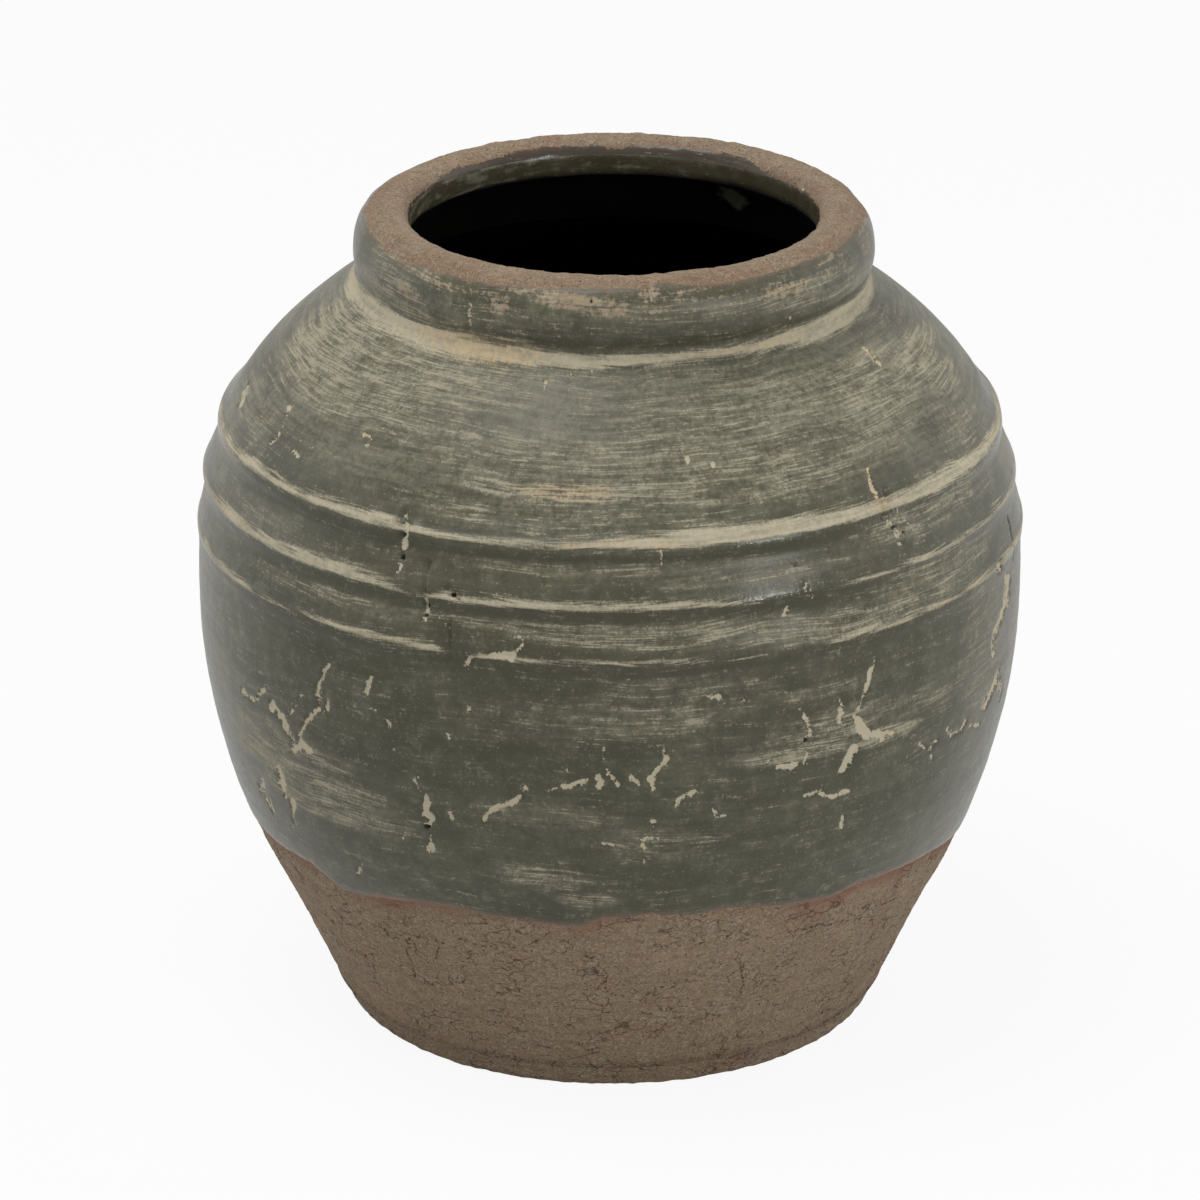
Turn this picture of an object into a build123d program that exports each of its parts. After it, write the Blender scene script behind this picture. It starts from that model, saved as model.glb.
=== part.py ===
"""Stoneware storage jar with a rolled rim, three raised bands and a worn grey-green glaze.

The jar is made in the order in which a potter builds one: a base disc, wall sections luted
together with bevelled joints, a neck collar, a rolled rim, bands of clay coil pressed on
round the shoulder, then the glaze coats and the pale slip that lies over them. Lengths are
millimetres, +Z is up, and the origin is the middle of the foot's underside.
"""
import os
from math import cos, hypot, radians, sin

from build123d import *

# Clay wall, measured on its outer face
foot_radius = 131.8
foot_edge_round = 4.6
widest_radius = 199.2
widest_height = 214.0
neck_radius = 118.4
shoulder_rise = 58.5
wall_thickness = 9.0
floor_thickness = 13.0
disc_radius = 119.5

# Rim and throat
rim_radius = 123.7
rim_height = 36.5
throat_radius = 97.5
throat_edge_drop = 6.2
throat_land_length = 10.8
collar_thickness = 11.0
rim_lap = 4.3

# Bands, each measured from its lower edge on the wall to its upper edge
first_band_rise = 26.5
lower_band_width = 23.5
lower_band_depth = 1.8
lower_groove_width = 2.5
middle_band_width = 22.5
middle_band_depth = 2.4
upper_groove_width = 3.5
upper_band_width = 16.0
upper_band_depth = 3.4
band_groove_depth = 1.0
band_key_depth = 2.6

# Joints between clay sections, bevelled so that the inner face's end stands higher by the lap
mid_belly_height = 186.0
joint_lap = 5.0

# Coats
glaze_line_height = 118.0
glaze_thickness = 0.8
inner_glaze_thickness = 0.6
rim_bare_drop = 6.0
slip_thickness = 0.45
slip_line_width = 4.2
slip_line_rise = 1.0

# Azimuths where the coils of each band meet, in degrees to the right of the front
upper_band_joints = (-31.0, 44.0, 170.0)
middle_band_joints = (-26.0, 150.0)
lower_band_joints = (-22.0, 75.0, 190.0)

# Share of the foot's rounding, sideways, where its arc passes
foot_round_share = 0.75
# Share of height and share of radius from the foot to the widest point
belly_shares = ((0.0, 0.0), (0.08, 0.126), (0.223, 0.326), (0.39, 0.58), (0.581, 0.807),
                (0.772, 0.944), (0.9, 0.991), (1.0, 1.0))
# Share of height from the upper band to the neck
shoulder_shares = (0.0, 0.2, 0.4, 0.6, 0.8, 0.93, 1.0)
# The wall closes in with this power of the height above the widest point
shoulder_power = 3.05
# Share of a band's width and share of its depth: under the crest, at the crest and above it
band_under_share = (0.11, 0.62)
crest_share = 0.27
band_over_share = (0.62, 0.55)
# Share of a band's width by which its key, pressed into the wall, is drawn in at each edge
key_draw_share = 0.12
# Share of a band's width where the wall's joint lies behind it
hidden_joint_share = 0.45
# Share of the rim's width and share of its height, from the neck's root over the top
rim_shares = ((0.925, 0.159), (1.0, 0.493), (0.9, 0.76), (0.717, 0.918), (0.46, 1.0),
              (0.205, 0.967), (0.05, 0.91))
# Share of the collar's height where its outer face turns in from its foot
collar_foot_share = 0.5
# How far the inside flares from the throat, as shares of the way to the shoulder
flare_shares = (0.62, 0.42)
# How deep the slip in the neck's groove is hollowed towards the groove
neck_slip_hollow_share = 0.15
# How far the line that parts the shoulder's glaze from the rim's runs on past the glaze
groove_cut_share = 60.0
half_share = 0.5

# Places that follow from the sizes, the neck standing a shoulder's rise above the upper band
lower_band_height = widest_height + first_band_rise
lower_band_top = lower_band_height + lower_band_width
middle_band_height = lower_band_top + lower_groove_width
middle_band_top = middle_band_height + middle_band_width
upper_band_height = middle_band_top + upper_groove_width
upper_band_top = upper_band_height + upper_band_width
neck_height = upper_band_top + shoulder_rise
jar_height = neck_height + rim_height
throat_clay_radius = throat_radius + inner_glaze_thickness
throat_top_height = jar_height - throat_edge_drop
# Beyond every surface, for the edges of the cutting outlines
cut_reach = widest_radius + wall_thickness


def part_way(low, high, radius_share, height_share):
    """A point between two (radius, height) points, by a share of each."""
    return (low[0] + (high[0] - low[0]) * radius_share, low[1] + (high[1] - low[1]) * height_share)


def wall_point(height, drawn_in=0):
    """The wall's outer face at a height above the widest point, drawn in where a groove runs."""
    rise_share = (height - widest_height) / (neck_height - widest_height)
    closing = (widest_radius - neck_radius) * rise_share ** shoulder_power
    return (widest_radius - closing - drawn_in, height)


def outset(points, distance):
    """The points moved square to the outline, outwards where the distance is positive."""
    moved = []
    for place, (radius, height) in enumerate(points):
        before = points[max(place - 1, 0)]
        after = points[min(place + 1, len(points) - 1)]
        run, rise = after[0] - before[0], after[1] - before[1]
        size = hypot(run, rise)
        moved.append((radius + rise / size * distance, height - run / size * distance))
    return moved


def band_arcs(low, high, depth):
    """A band's outer face on the wall between two points: an arc up to its crest and one beyond."""
    run, rise = high[0] - low[0], high[1] - low[1]
    size = hypot(run, rise)

    def proud(width_share, depth_share):
        radius, height = part_way(low, high, width_share, width_share)
        reach = depth * depth_share / size
        return (radius + rise * reach, height - run * reach)

    crest = proud(crest_share, 1)
    return [[low, proud(*band_under_share), crest], [crest, proud(*band_over_share), high]]


def key_points(low, high):
    """The groove in the wall that a band is pressed into, from its lower edge to its upper one."""
    key_low = part_way(low, high, key_draw_share, key_draw_share)
    key_high = part_way(high, low, key_draw_share, key_draw_share)
    return [low, *outset([key_low, key_high], -band_key_depth), high]


def draw(stretches):
    """Lines, arcs and splines through the points of each stretch of an outline."""
    for stretch in stretches:
        if len(stretch) == 2:
            Line(*stretch)
        elif len(stretch) == 3:
            ThreePointArc(*stretch)
        else:
            Spline(*stretch)


def level(height):
    """A level line from the axis to beyond the jar, for a zone's edge."""
    return [(0, height), (cut_reach, height)]


def bevel(outer, inner):
    """A bevelled line through the wall from its inner to its outer face, for a zone's edge."""
    return [(0, inner[1]), inner, outer, (cut_reach, outer[1])]


def zone(lower_edge, upper_edge):
    """The face between two edges that run from the axis to beyond the jar."""
    with BuildSketch() as area:
        with BuildLine():
            Polyline(*lower_edge, *reversed(upper_edge), close=True)
        make_face()
    return area.sketch


def wall_joint(outer):
    """The edge of a joint that rises by the lap from a point of the outer face to the inner face."""
    return bevel(outer, (outer[0] - wall_thickness, outer[1] + joint_lap))


def radial_plane(azimuth):
    """The upright plane through the axis, to the right of the front by an angle."""
    turn = radians(azimuth - 90)
    return Plane(origin=(0, 0, 0), x_dir=(cos(turn), sin(turn), 0), z_dir=(sin(turn), -cos(turn), 0))


# Outline of the wall and of what stands on it
foot_top = (foot_radius, foot_edge_round)
foot_corner = (foot_radius - foot_edge_round, 0)
foot_round = part_way(foot_corner, foot_top, foot_round_share, 1 - foot_round_share)
widest = (widest_radius, widest_height)
belly = [part_way(foot_top, widest, radius, height) for height, radius in belly_shares]
belly.append(wall_point(lower_band_height))

lower_seat = [wall_point(lower_band_height), wall_point(lower_band_top, band_groove_depth)]
middle_seat = [wall_point(height, band_groove_depth) for height in (middle_band_height, middle_band_top)]
upper_seat = [wall_point(upper_band_height, band_groove_depth), wall_point(upper_band_top)]
band_keys = key_points(*lower_seat) + key_points(*middle_seat) + key_points(*upper_seat)
lower_face = band_arcs(*lower_seat, lower_band_depth)
middle_face = band_arcs(*middle_seat, middle_band_depth)
upper_face = band_arcs(*upper_seat, upper_band_depth)


def belly_radius(height):
    """The belly's radius at a height, read straight between its points."""
    for low, high in zip(belly, belly[1:]):
        if low[1] <= height <= high[1]:
            return low[0] + (high[0] - low[0]) * (height - low[1]) / (high[1] - low[1])
    return widest_radius


neck_root = (neck_radius, neck_height)
shoulder = [
    wall_point(upper_band_top + (neck_height - upper_band_top) * share) for share in shoulder_shares
]
rim_inner_foot = (throat_clay_radius, neck_height)
rim_outer_top = (rim_radius, jar_height)
throat_top = (throat_clay_radius, throat_top_height)
rim = [neck_root]
rim.extend(part_way(rim_inner_foot, rim_outer_top, radius, height) for radius, height in rim_shares)
rim.append(throat_top)

# The inside of the wall, from the floor's underside to the collar
inside = [(disc_radius, 0)]
inside.extend(outset(belly, -wall_thickness)[1:])
inside.extend(outset(shoulder, -wall_thickness)[1:])
collar_root = inside[-1]
throat_land_height = throat_top_height - throat_land_length
land_foot = (throat_clay_radius, throat_land_height)
flare = part_way(land_foot, collar_root, *flare_shares)
glazed_inside = outset(inside, -inner_glaze_thickness)
glazed_collar_root = glazed_inside[-1]
glazed_land_foot = (throat_radius, throat_land_height)
glazed_flare = part_way(glazed_land_foot, glazed_collar_root, *flare_shares)

# The outer outline with its bands, and the same outline carrying its glaze and its slip
lower_groove = [lower_seat[1], middle_seat[0]]
upper_groove = [middle_seat[1], upper_seat[0]]
faces = [belly, *lower_face, lower_groove, *middle_face, upper_groove, *upper_face, shoulder, rim]


def coat_faces(thickness):
    """The outer outline moved outwards, in the same stretches as before."""
    points = [faces[0][0]]
    for face in faces:
        points.extend(face[1:])
    moved = outset(points, thickness)
    stretches = []
    first = 0
    for face in faces:
        last = first + len(face)
        stretches.append(moved[first:last])
        first = last - 1
    return stretches


def solid_outline(stretches):
    """The face from the axis to an outer outline that runs from the foot over the rim."""
    foot, top = stretches[0][0], stretches[-1][-1]
    with BuildSketch() as area:
        with BuildLine():
            draw(stretches)
            Polyline(top, (0, top[1]), (0, foot[1]), foot)
        make_face()
    return area.sketch


clay_fill = solid_outline(faces)
glaze_faces = coat_faces(glaze_thickness)
glaze_fill = solid_outline(glaze_faces)
slip_fill = solid_outline(coat_faces(glaze_thickness + slip_thickness))

with BuildSketch() as wall_fill:
    with BuildLine():
        Line((0, 0), foot_corner)
        ThreePointArc(foot_corner, foot_round, foot_top)
        Spline(*belly)
        Polyline(*band_keys)
        Spline(*shoulder)
        Polyline(neck_root, (0, neck_height), (0, 0))
    make_face()

with BuildSketch() as hollow_fill:
    with BuildLine():
        Spline(*inside)
        Polyline(collar_root, (0, collar_root[1]), (0, 0), inside[0])
    make_face()

with BuildSketch() as glazed_hollow_fill:
    with BuildLine():
        Spline(*glazed_inside)
        Polyline(glazed_collar_root, collar_root, (0, collar_root[1]), (0, 0), glazed_inside[0])
    make_face()

os.makedirs("parts", exist_ok=True)


def keep(part, name):
    """Label a finished piece and write its file."""
    part.label = name
    export_step(part, f"parts/{name}.step")


# Base disc, slanted at its edge where the foot wall grips it
with BuildPart() as base_disc:
    with BuildSketch(Plane.XZ):
        add(hollow_fill.sketch)
        add(zone(level(0), level(floor_thickness)), mode=Mode.INTERSECT)
    revolve(axis=Axis.Z)
keep(base_disc.part, "base_disc")

# Wall sections, from the foot to the neck
foot_joint = wall_joint((belly_radius(glaze_line_height), glaze_line_height))
mid_belly_joint = wall_joint((belly_radius(mid_belly_height), mid_belly_height))
belly_joint = wall_joint(part_way(*lower_seat, hidden_joint_share, hidden_joint_share))
shoulder_joint = wall_joint(part_way(*upper_seat, hidden_joint_share, hidden_joint_share))
neck_joint = bevel(neck_root, collar_root)
wall_sections = {
    "foot_wall": (level(0), foot_joint),
    "lower_belly_wall": (foot_joint, mid_belly_joint),
    "upper_belly_wall": (mid_belly_joint, belly_joint),
    "band_wall": (belly_joint, shoulder_joint),
    "shoulder_wall": (shoulder_joint, neck_joint),
}
for name, edges in wall_sections.items():
    with BuildPart() as wall_section:
        with BuildSketch(Plane.XZ):
            add(wall_fill.sketch)
            add(hollow_fill.sketch, mode=Mode.SUBTRACT)
            add(zone(*edges), mode=Mode.INTERSECT)
        revolve(axis=Axis.Z)
    keep(wall_section.part, name)

# Neck collar, standing on the shoulder's bevelled top
collar_radius = throat_clay_radius + collar_thickness
collar_top = (collar_radius, throat_top_height - rim_lap)
collar_turn = part_way((collar_radius, neck_height), collar_top, 1, collar_foot_share)
with BuildPart() as neck_collar:
    with BuildSketch(Plane.XZ):
        with BuildLine():
            Polyline(collar_root, neck_root, collar_turn, collar_top, throat_top, land_foot)
            ThreePointArc(land_foot, flare, collar_root)
        make_face()
    revolve(axis=Axis.Z)
keep(neck_collar.part, "neck_collar")

# Rolled rim, wrapped round the collar and lapped over its top
with BuildPart() as rim_roll:
    with BuildSketch(Plane.XZ):
        with BuildLine():
            Spline(*rim)
            Polyline(throat_top, collar_top, collar_turn, neck_root)
        make_face()
    revolve(axis=Axis.Z)
keep(rim_roll.part, "rim_roll")

# Bands, each pressed into its key in lengths of coil that meet end to end
bands = {
    "lower_band": (lower_face, lower_seat, lower_band_joints),
    "middle_band": (middle_face, middle_seat, middle_band_joints),
    "upper_band": (upper_face, upper_seat, upper_band_joints),
}
for name, (face, seat, joints) in bands.items():
    for count, start in enumerate(joints):
        span = (joints[(count + 1) % len(joints)] - start) % 360
        with BuildPart() as coil:
            with BuildSketch(radial_plane(start)):
                with BuildLine():
                    draw(face)
                    Polyline(*key_points(*seat))
                make_face()
            revolve(axis=Axis.Z, revolution_arc=span)
        keep(coil.part, f"{name}_coil_{count + 1}")

# Glaze coats on the outside, each laid on the clay beneath it
glaze_root = glaze_faces[-1][0]
groove_cut = part_way(neck_root, glaze_root, groove_cut_share, groove_cut_share)
groove = [(0, neck_height), neck_root, groove_cut]
rim_foot = [(collar_radius, neck_height), neck_root, groove_cut]
rim_glaze_height = jar_height - rim_bare_drop
rim_bare_edge = [(collar_radius, rim_glaze_height), (cut_reach, rim_glaze_height)]
coats = {
    "belly_glaze": (level(glaze_line_height), level(lower_band_height)),
    "band_glaze": (level(lower_band_height), level(upper_band_top)),
    "shoulder_glaze": (level(upper_band_top), groove),
    "rim_glaze": (rim_foot, rim_bare_edge),
}
for name, edges in coats.items():
    with BuildPart() as coat:
        with BuildSketch(Plane.XZ):
            add(glaze_fill)
            add(clay_fill, mode=Mode.SUBTRACT)
            add(zone(*edges), mode=Mode.INTERSECT)
        revolve(axis=Axis.Z)
    keep(coat.part, name)

# Glaze in the throat, down the land and the flare under it
with BuildPart() as throat_glaze:
    with BuildSketch(Plane.XZ):
        with BuildLine():
            Polyline(glazed_land_foot, (throat_radius, throat_top_height), throat_top, land_foot)
            ThreePointArc(land_foot, flare, collar_root)
            Line(collar_root, glazed_collar_root)
            ThreePointArc(glazed_collar_root, glazed_flare, glazed_land_foot)
        make_face()
    revolve(axis=Axis.Z)
keep(throat_glaze.part, "throat_glaze")

# Glaze over the floor and the inside of the wall
with BuildSketch() as glazed_room:
    add(glazed_hollow_fill.sketch)
    add(zone(level(floor_thickness + inner_glaze_thickness), level(neck_height)), mode=Mode.INTERSECT)
with BuildPart() as inside_glaze:
    with BuildSketch(Plane.XZ):
        add(hollow_fill.sketch)
        add(zone(level(floor_thickness), level(neck_height)), mode=Mode.INTERSECT)
        add(glazed_room.sketch, mode=Mode.SUBTRACT)
    revolve(axis=Axis.Z)
keep(inside_glaze.part, "inside_glaze")

# Slip lines, each on the upper side of a band's crest
slip_lines = {
    "lower_slip_line": lower_band_height + lower_band_width * crest_share,
    "middle_slip_line": middle_band_height + middle_band_width * crest_share,
    "upper_slip_line": upper_band_height + upper_band_width * crest_share,
}
for name, crest_height in slip_lines.items():
    slip_foot = crest_height + slip_line_rise
    with BuildPart() as slip_line:
        with BuildSketch(Plane.XZ):
            add(slip_fill)
            add(glaze_fill, mode=Mode.SUBTRACT)
            add(zone(level(slip_foot), level(slip_foot + slip_line_width)), mode=Mode.INTERSECT)
        revolve(axis=Axis.Z)
    keep(slip_line.part, name)

# Slip that fills the groove under the rim
slip_shoulder_edge = glaze_faces[-2][-2]
slip_rim_edge = glaze_faces[-1][1]
slip_chord = part_way(slip_shoulder_edge, slip_rim_edge, half_share, half_share)
slip_hollow = part_way(slip_chord, glaze_root, neck_slip_hollow_share, neck_slip_hollow_share)
with BuildPart() as neck_slip:
    with BuildSketch(Plane.XZ):
        with BuildLine():
            ThreePointArc(slip_shoulder_edge, slip_hollow, slip_rim_edge)
            Polyline(slip_rim_edge, (collar_radius, neck_height), slip_shoulder_edge)
        make_face()
        add(glaze_fill, mode=Mode.SUBTRACT)
    revolve(axis=Axis.Z)
keep(neck_slip.part, "neck_slip")
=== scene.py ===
"""Looks of a glazed stoneware storage jar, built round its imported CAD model.

The jar's outline is read from the frame. A grid of rows round the jar is pressed, chipped and
cracked, then cut into the foot, belly, bands, shoulder, neck, rim and throat, each a closed piece.
Lengths are metres, +Z is up and the photograph looks along +Y from slightly above.
"""
from functools import lru_cache
from itertools import product
from math import cos, pi, radians, sin

import bpy
import numpy as np
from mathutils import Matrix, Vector
from mathutils.bvhtree import BVHTree


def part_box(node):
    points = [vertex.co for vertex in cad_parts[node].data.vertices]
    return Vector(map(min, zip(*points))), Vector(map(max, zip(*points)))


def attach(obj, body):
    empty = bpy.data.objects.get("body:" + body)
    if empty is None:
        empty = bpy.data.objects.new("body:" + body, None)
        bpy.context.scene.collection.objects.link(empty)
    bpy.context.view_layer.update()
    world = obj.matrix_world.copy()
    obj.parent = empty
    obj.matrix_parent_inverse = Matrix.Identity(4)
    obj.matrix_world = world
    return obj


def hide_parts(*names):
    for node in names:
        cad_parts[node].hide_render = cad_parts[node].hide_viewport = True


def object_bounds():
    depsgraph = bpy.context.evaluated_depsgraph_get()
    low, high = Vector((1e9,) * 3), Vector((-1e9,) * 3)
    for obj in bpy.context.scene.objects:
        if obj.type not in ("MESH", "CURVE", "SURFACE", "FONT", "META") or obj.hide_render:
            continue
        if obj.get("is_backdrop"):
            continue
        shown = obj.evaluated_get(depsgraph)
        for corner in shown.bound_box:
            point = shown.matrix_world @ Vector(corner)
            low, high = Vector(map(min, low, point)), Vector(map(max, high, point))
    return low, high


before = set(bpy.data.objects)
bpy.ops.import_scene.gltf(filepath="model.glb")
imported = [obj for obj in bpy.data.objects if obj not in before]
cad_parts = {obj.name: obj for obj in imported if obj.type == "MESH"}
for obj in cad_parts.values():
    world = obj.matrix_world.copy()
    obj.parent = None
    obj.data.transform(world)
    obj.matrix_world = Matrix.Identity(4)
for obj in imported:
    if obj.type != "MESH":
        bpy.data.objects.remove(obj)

bl_info = {
    "name": "Worn storage jar",
    "version": (1, 0, 0),
    "blender": (4, 5, 0),
    "location": "3D View > Sidebar > Jar",
    "description": "Builds a worn, glazed stoneware storage jar and its studio",
    "category": "Object",
}

MM = 0.001
# What a field of marks holds far from all of them, in mm
FAR = -6.0

# Photograph: its size in pixels, and the camera that it was taken with
PHOTO_SIZE = 1200
PIXELS_PER_MM = 2.06
CAMERA_PLACE = (0.0, -2.8003, 1.3226)
CAMERA_PITCH = 21.855
CAMERA_YAW = 0.097
CAMERA_LENS = 185.45
CAMERA_SENSOR = 36.0

# Marks that the photograph shows, in its pixels: half a width, then the points along the mark
BELLY_MARKS = (
    (2.2, (327, 666), (322, 682), (316, 690), (317, 700), (318, 708), (314, 714), (308, 722), (300, 730)),
    (1.8, (326, 703), (325, 708)),
    (2.6, (271, 701), (278, 713), (282, 720), (286, 730), (291, 741), (294, 749)),
    (3.6, (294, 749), (303, 744), (310, 751)),
    (2.4, (300, 730), (300, 738), (303, 746)),
    (1.2, (303, 694), (296, 708), (290, 714)),
    (2.0, (241, 690), (248, 698), (256, 700), (263, 690)),
    (3.2, (278, 768), (281, 780), (284, 795)),
    (2.0, (292, 800), (291, 811), (292, 828)),
    (1.1, (259, 781), (264, 795), (271, 813)),
    (2.0, (370, 678), (368, 687)),
    (2.8, (366, 690), (363, 692)),
    (1.5, (370, 709), (377, 712)),
    (1.8, (387, 722), (390, 729)),
    (2.4, (392, 750),),
    (1.3, (445, 734), (449, 738)),
    (1.9, (468, 707),),
    (1.6, (418, 776), (416, 784), (421, 792)),
    (4.0, (426, 799), (425, 812), (431, 820), (427, 827)),
    (2.6, (428, 838), (428, 846), (432, 853)),
    (1.6, (449, 804),),
    (1.8, (450, 813), (453, 820)),
    (1.2, (402, 838), (404, 833)),
    (2.6, (484, 819), (491, 811), (503, 808), (513, 803), (521, 796), (525, 788)),
    (3.4, (491, 811), (500, 808)),
    (1.6, (548, 813),),
    (1.7, (567, 771),),
    (2.0, (551, 790), (564, 787), (575, 784), (587, 780)),
    (4.2, (598, 778), (600, 784)),
    (1.9, (606, 768), (611, 774), (614, 779)),
    (1.5, (603, 749), (603, 760)),
    (1.2, (361, 864), (358, 874)),
    (1.4, (626, 681), (630, 679)),
    (2.0, (705, 696), (712, 699), (720, 698)),
    (2.5, (742, 700),),
    (3.2, (663, 752), (668, 760), (659, 770), (651, 778)),
    (2.2, (651, 778), (654, 788)),
    (2.0, (605, 768), (612, 778), (618, 785)),
    (2.0, (630, 776), (637, 784)),
    (2.8, (693, 794), (680, 799), (676, 803)),
    (1.0, (711, 808), (719, 817), (726, 815)),
    (1.2, (652, 818), (652, 831)),
    (1.4, (644, 846), (645, 862)),
    (1.0, (638, 839), (664, 839)),
    (1.0, (600, 845), (615, 846)),
    (1.6, (875, 660), (870, 672)),
    (2.3, (870, 672), (866, 686), (863, 699), (858, 711)),
    (6.5, (858, 722), (866, 735)),
    (4.4, (866, 735), (880, 735)),
    (2.6, (880, 735), (894, 731)),
    (4.0, (856, 748), (848, 760)),
    (3.4, (848, 760), (844, 769)),
    (2.0, (840, 702), (840, 712), (839, 723)),
    (1.9, (799, 709), (807, 721), (811, 732), (804, 743)),
    (1.7, (808, 754), (806, 766)),
    (2.4, (768, 761),),
    (3.0, (780, 769), (787, 767), (796, 765)),
    (1.7, (760, 771),),
    (1.8, (804, 795), (819, 791), (833, 795), (850, 789)),
    (1.6, (823, 782), (822, 792)),
    (1.2, (843, 817), (841, 829)),
    (1.5, (918, 746), (929, 751), (937, 739)),
    (1.4, (930, 751), (933, 759)),
    (1.7, (947, 728), (950, 735), (962, 730), (965, 718)),
    (1.6, (972, 725), (980, 724)),
    (2.4, (1008, 578), (1006, 607), (998, 627), (992, 643), (992, 655)),
    (2.0, (1000, 667), (998, 680), (990, 697), (984, 708)),
    (1.4, (1003, 680), (1001, 700)),
)
SHOULDER_MARKS = (
    (1.3, (290, 405), (283, 422), (278, 435), (270, 446)),
    (1.6, (249, 385), (239, 406)),
    (4.2, (368, 435),),
    (2.4, (366, 443),),
    (1.5, (302, 439),),
    (1.9, (310, 447),),
    (2.0, (292, 452), (300, 461)),
    (1.0, (407, 500), (405, 517)),
    (2.3, (622, 460),),
    (2.0, (688, 460),),
    (3.2, (714, 465),),
    (1.0, (545, 372), (545, 388)),
    (0.7, (536, 368), (536, 381)),
    (0.7, (571, 370), (571, 382)),
    (0.6, (590, 370), (590, 385)),
    (0.8, (868, 350), (878, 361)),
    (1.4, (864, 346), (872, 358), (884, 368)),
    (1.6, (867, 466), (870, 481), (876, 494), (882, 508)),
    (3.0, (870, 482), (877, 496), (883, 508)),
    (1.0, (690, 372), (692, 382)),
)
BAND_MARKS = (
    (2.8, (405, 526), (405, 549)),
    (3.0, (401, 566), (400, 571)),
    (2.4, (424, 600), (425, 610), (424, 620)),
    (1.2, (441, 588), (452, 596), (462, 602)),
    (1.0, (440, 618), (448, 630)),
    (2.8, (472, 660), (468, 666)),
    (1.5, (463, 655),),
    (1.4, (481, 652),),
    (3.2, (490, 654), (503, 655), (513, 657)),
    (2.6, (514, 637), (521, 639), (524, 645), (517, 653)),
    (1.4, (889, 520), (893, 528)),
    (1.6, (903, 521), (908, 525)),
    (1.3, (897, 541), (903, 545)),
    (1.8, (661, 550), (661, 566)),
    (1.8, (806, 583), (808, 590), (813, 597)),
    (1.4, (796, 566),),
    (1.9, (787, 609), (784, 614)),
    (2.2, (896, 530), (897, 537)),
    (1.9, (909, 529),),
    (1.4, (999, 562), (999, 573)),
)
RIM_MARKS = (
    (1.0, (468, 287), (466, 300), (466, 331)),
    (1.9, (466, 316),),
    (1.2, (645, 290), (648, 303)),
    (1.6, (549, 325),),
    (1.6, (786, 317),),
)
# Glaze on the rim rubbed through to the clay: place in the photograph, half sizes in mm, strength
WORN_PATCHES = (
    (562, 300, 17, 4.0, 0.78), (600, 310, 12, 3.2, 0.72), (535, 291, 20, 4, 0.55), (785, 290, 14, 4.5, 0.78),
    (645, 294, 5, 6, 0.8), (500, 292, 24, 4, 0.5), (700, 291, 20, 3, 0.55), (640, 303, 40, 6, 0.4),
    (385, 264, 14, 6, 0.6), (862, 240, 10, 7, 0.65), (440, 280, 22, 5, 0.6), (830, 262, 16, 5, 0.55),
    (404, 295, 8, 6, 0.6), (496, 301, 5, 6, 0.7), (612, 306, 7, 3, 0.75), (720, 296, 10, 4, 0.5),
    (740, 300, 30, 5, 0.35), (470, 320, 30, 6, 0.25),
)
# Lumps and hollows that the coils' ends leave: place in the photograph, radius and height in mm
LUMPS = (
    (907, 528, 9.0, 1.3), (476, 655, 6.0, 0.8), (432, 584, 6.0, 0.8), (515, 648, 5.0, 0.6),
    (411, 528, 5.0, 0.7), (400, 536, 2.2, -1.8), (412, 547, 2.0, -1.3), (401, 556, 2.0, -1.6),
    (446, 591, 2.4, -1.7), (457, 599, 2.2, -1.5), (425, 607, 2.0, -1.5), (473, 661, 2.6, -1.6),
    (885, 516, 3.2, -1.4), (890, 535, 2.4, -1.2), (999, 567, 3.0, -1.5), (661, 558, 2.0, -0.8),
    (770, 152, 3.5, -1.0), (786, 158, 4.5, -1.6), (803, 164, 3.5, -1.1), (818, 173, 4.5, -1.3),
    (742, 145, 3.0, -0.8), (640, 134, 4.0, -0.8),
)
# Cracks in the bare clay of the foot
CLAY_CRACKS = (
    (1.2, (378, 925), (392, 938), (404, 942), (411, 960), (413, 978)),
    (1.0, (404, 942), (424, 936), (441, 944), (462, 940)),
    (1.0, (441, 944), (436, 960), (420, 966)),
    (1.1, (462, 940), (478, 948), (498, 945), (512, 951)),
    (1.2, (524, 945), (538, 942), (552, 932)),
    (1.0, (599, 972), (604, 988), (618, 998), (634, 994), (650, 996)),
    (1.0, (650, 996), (668, 985), (690, 986)),
    (1.0, (734, 950), (742, 962), (744, 984), (739, 998)),
    (1.1, (803, 931), (818, 926), (832, 925), (850, 921)),
    (1.1, (858, 910), (876, 906), (900, 898)),
    (0.9, (330, 905), (342, 920), (340, 936)),
)
# Pale smudge on the painted-shade black below the throat
SMUDGE = (733, 196)
# Pinholes, painted black inside as painted shade: radius, then the place
PINHOLES = (
    (2.6, (425, 830)),
    (2.7, (807, 742)),
    (2.2, (402, 535)),
    (2.0, (402, 558)),
    (1.8, (425, 606)),
    (1.8, (424, 615)),
    (2.4, (452, 594)),
    (1.6, (474, 658)),
    (1.8, (894, 528)),
    (1.7, (885, 518)),
    (1.5, (903, 533)),
    (1.5, (742, 699)),
    (1.3, (796, 565)),
    (1.5, (587, 301)),
)
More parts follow.
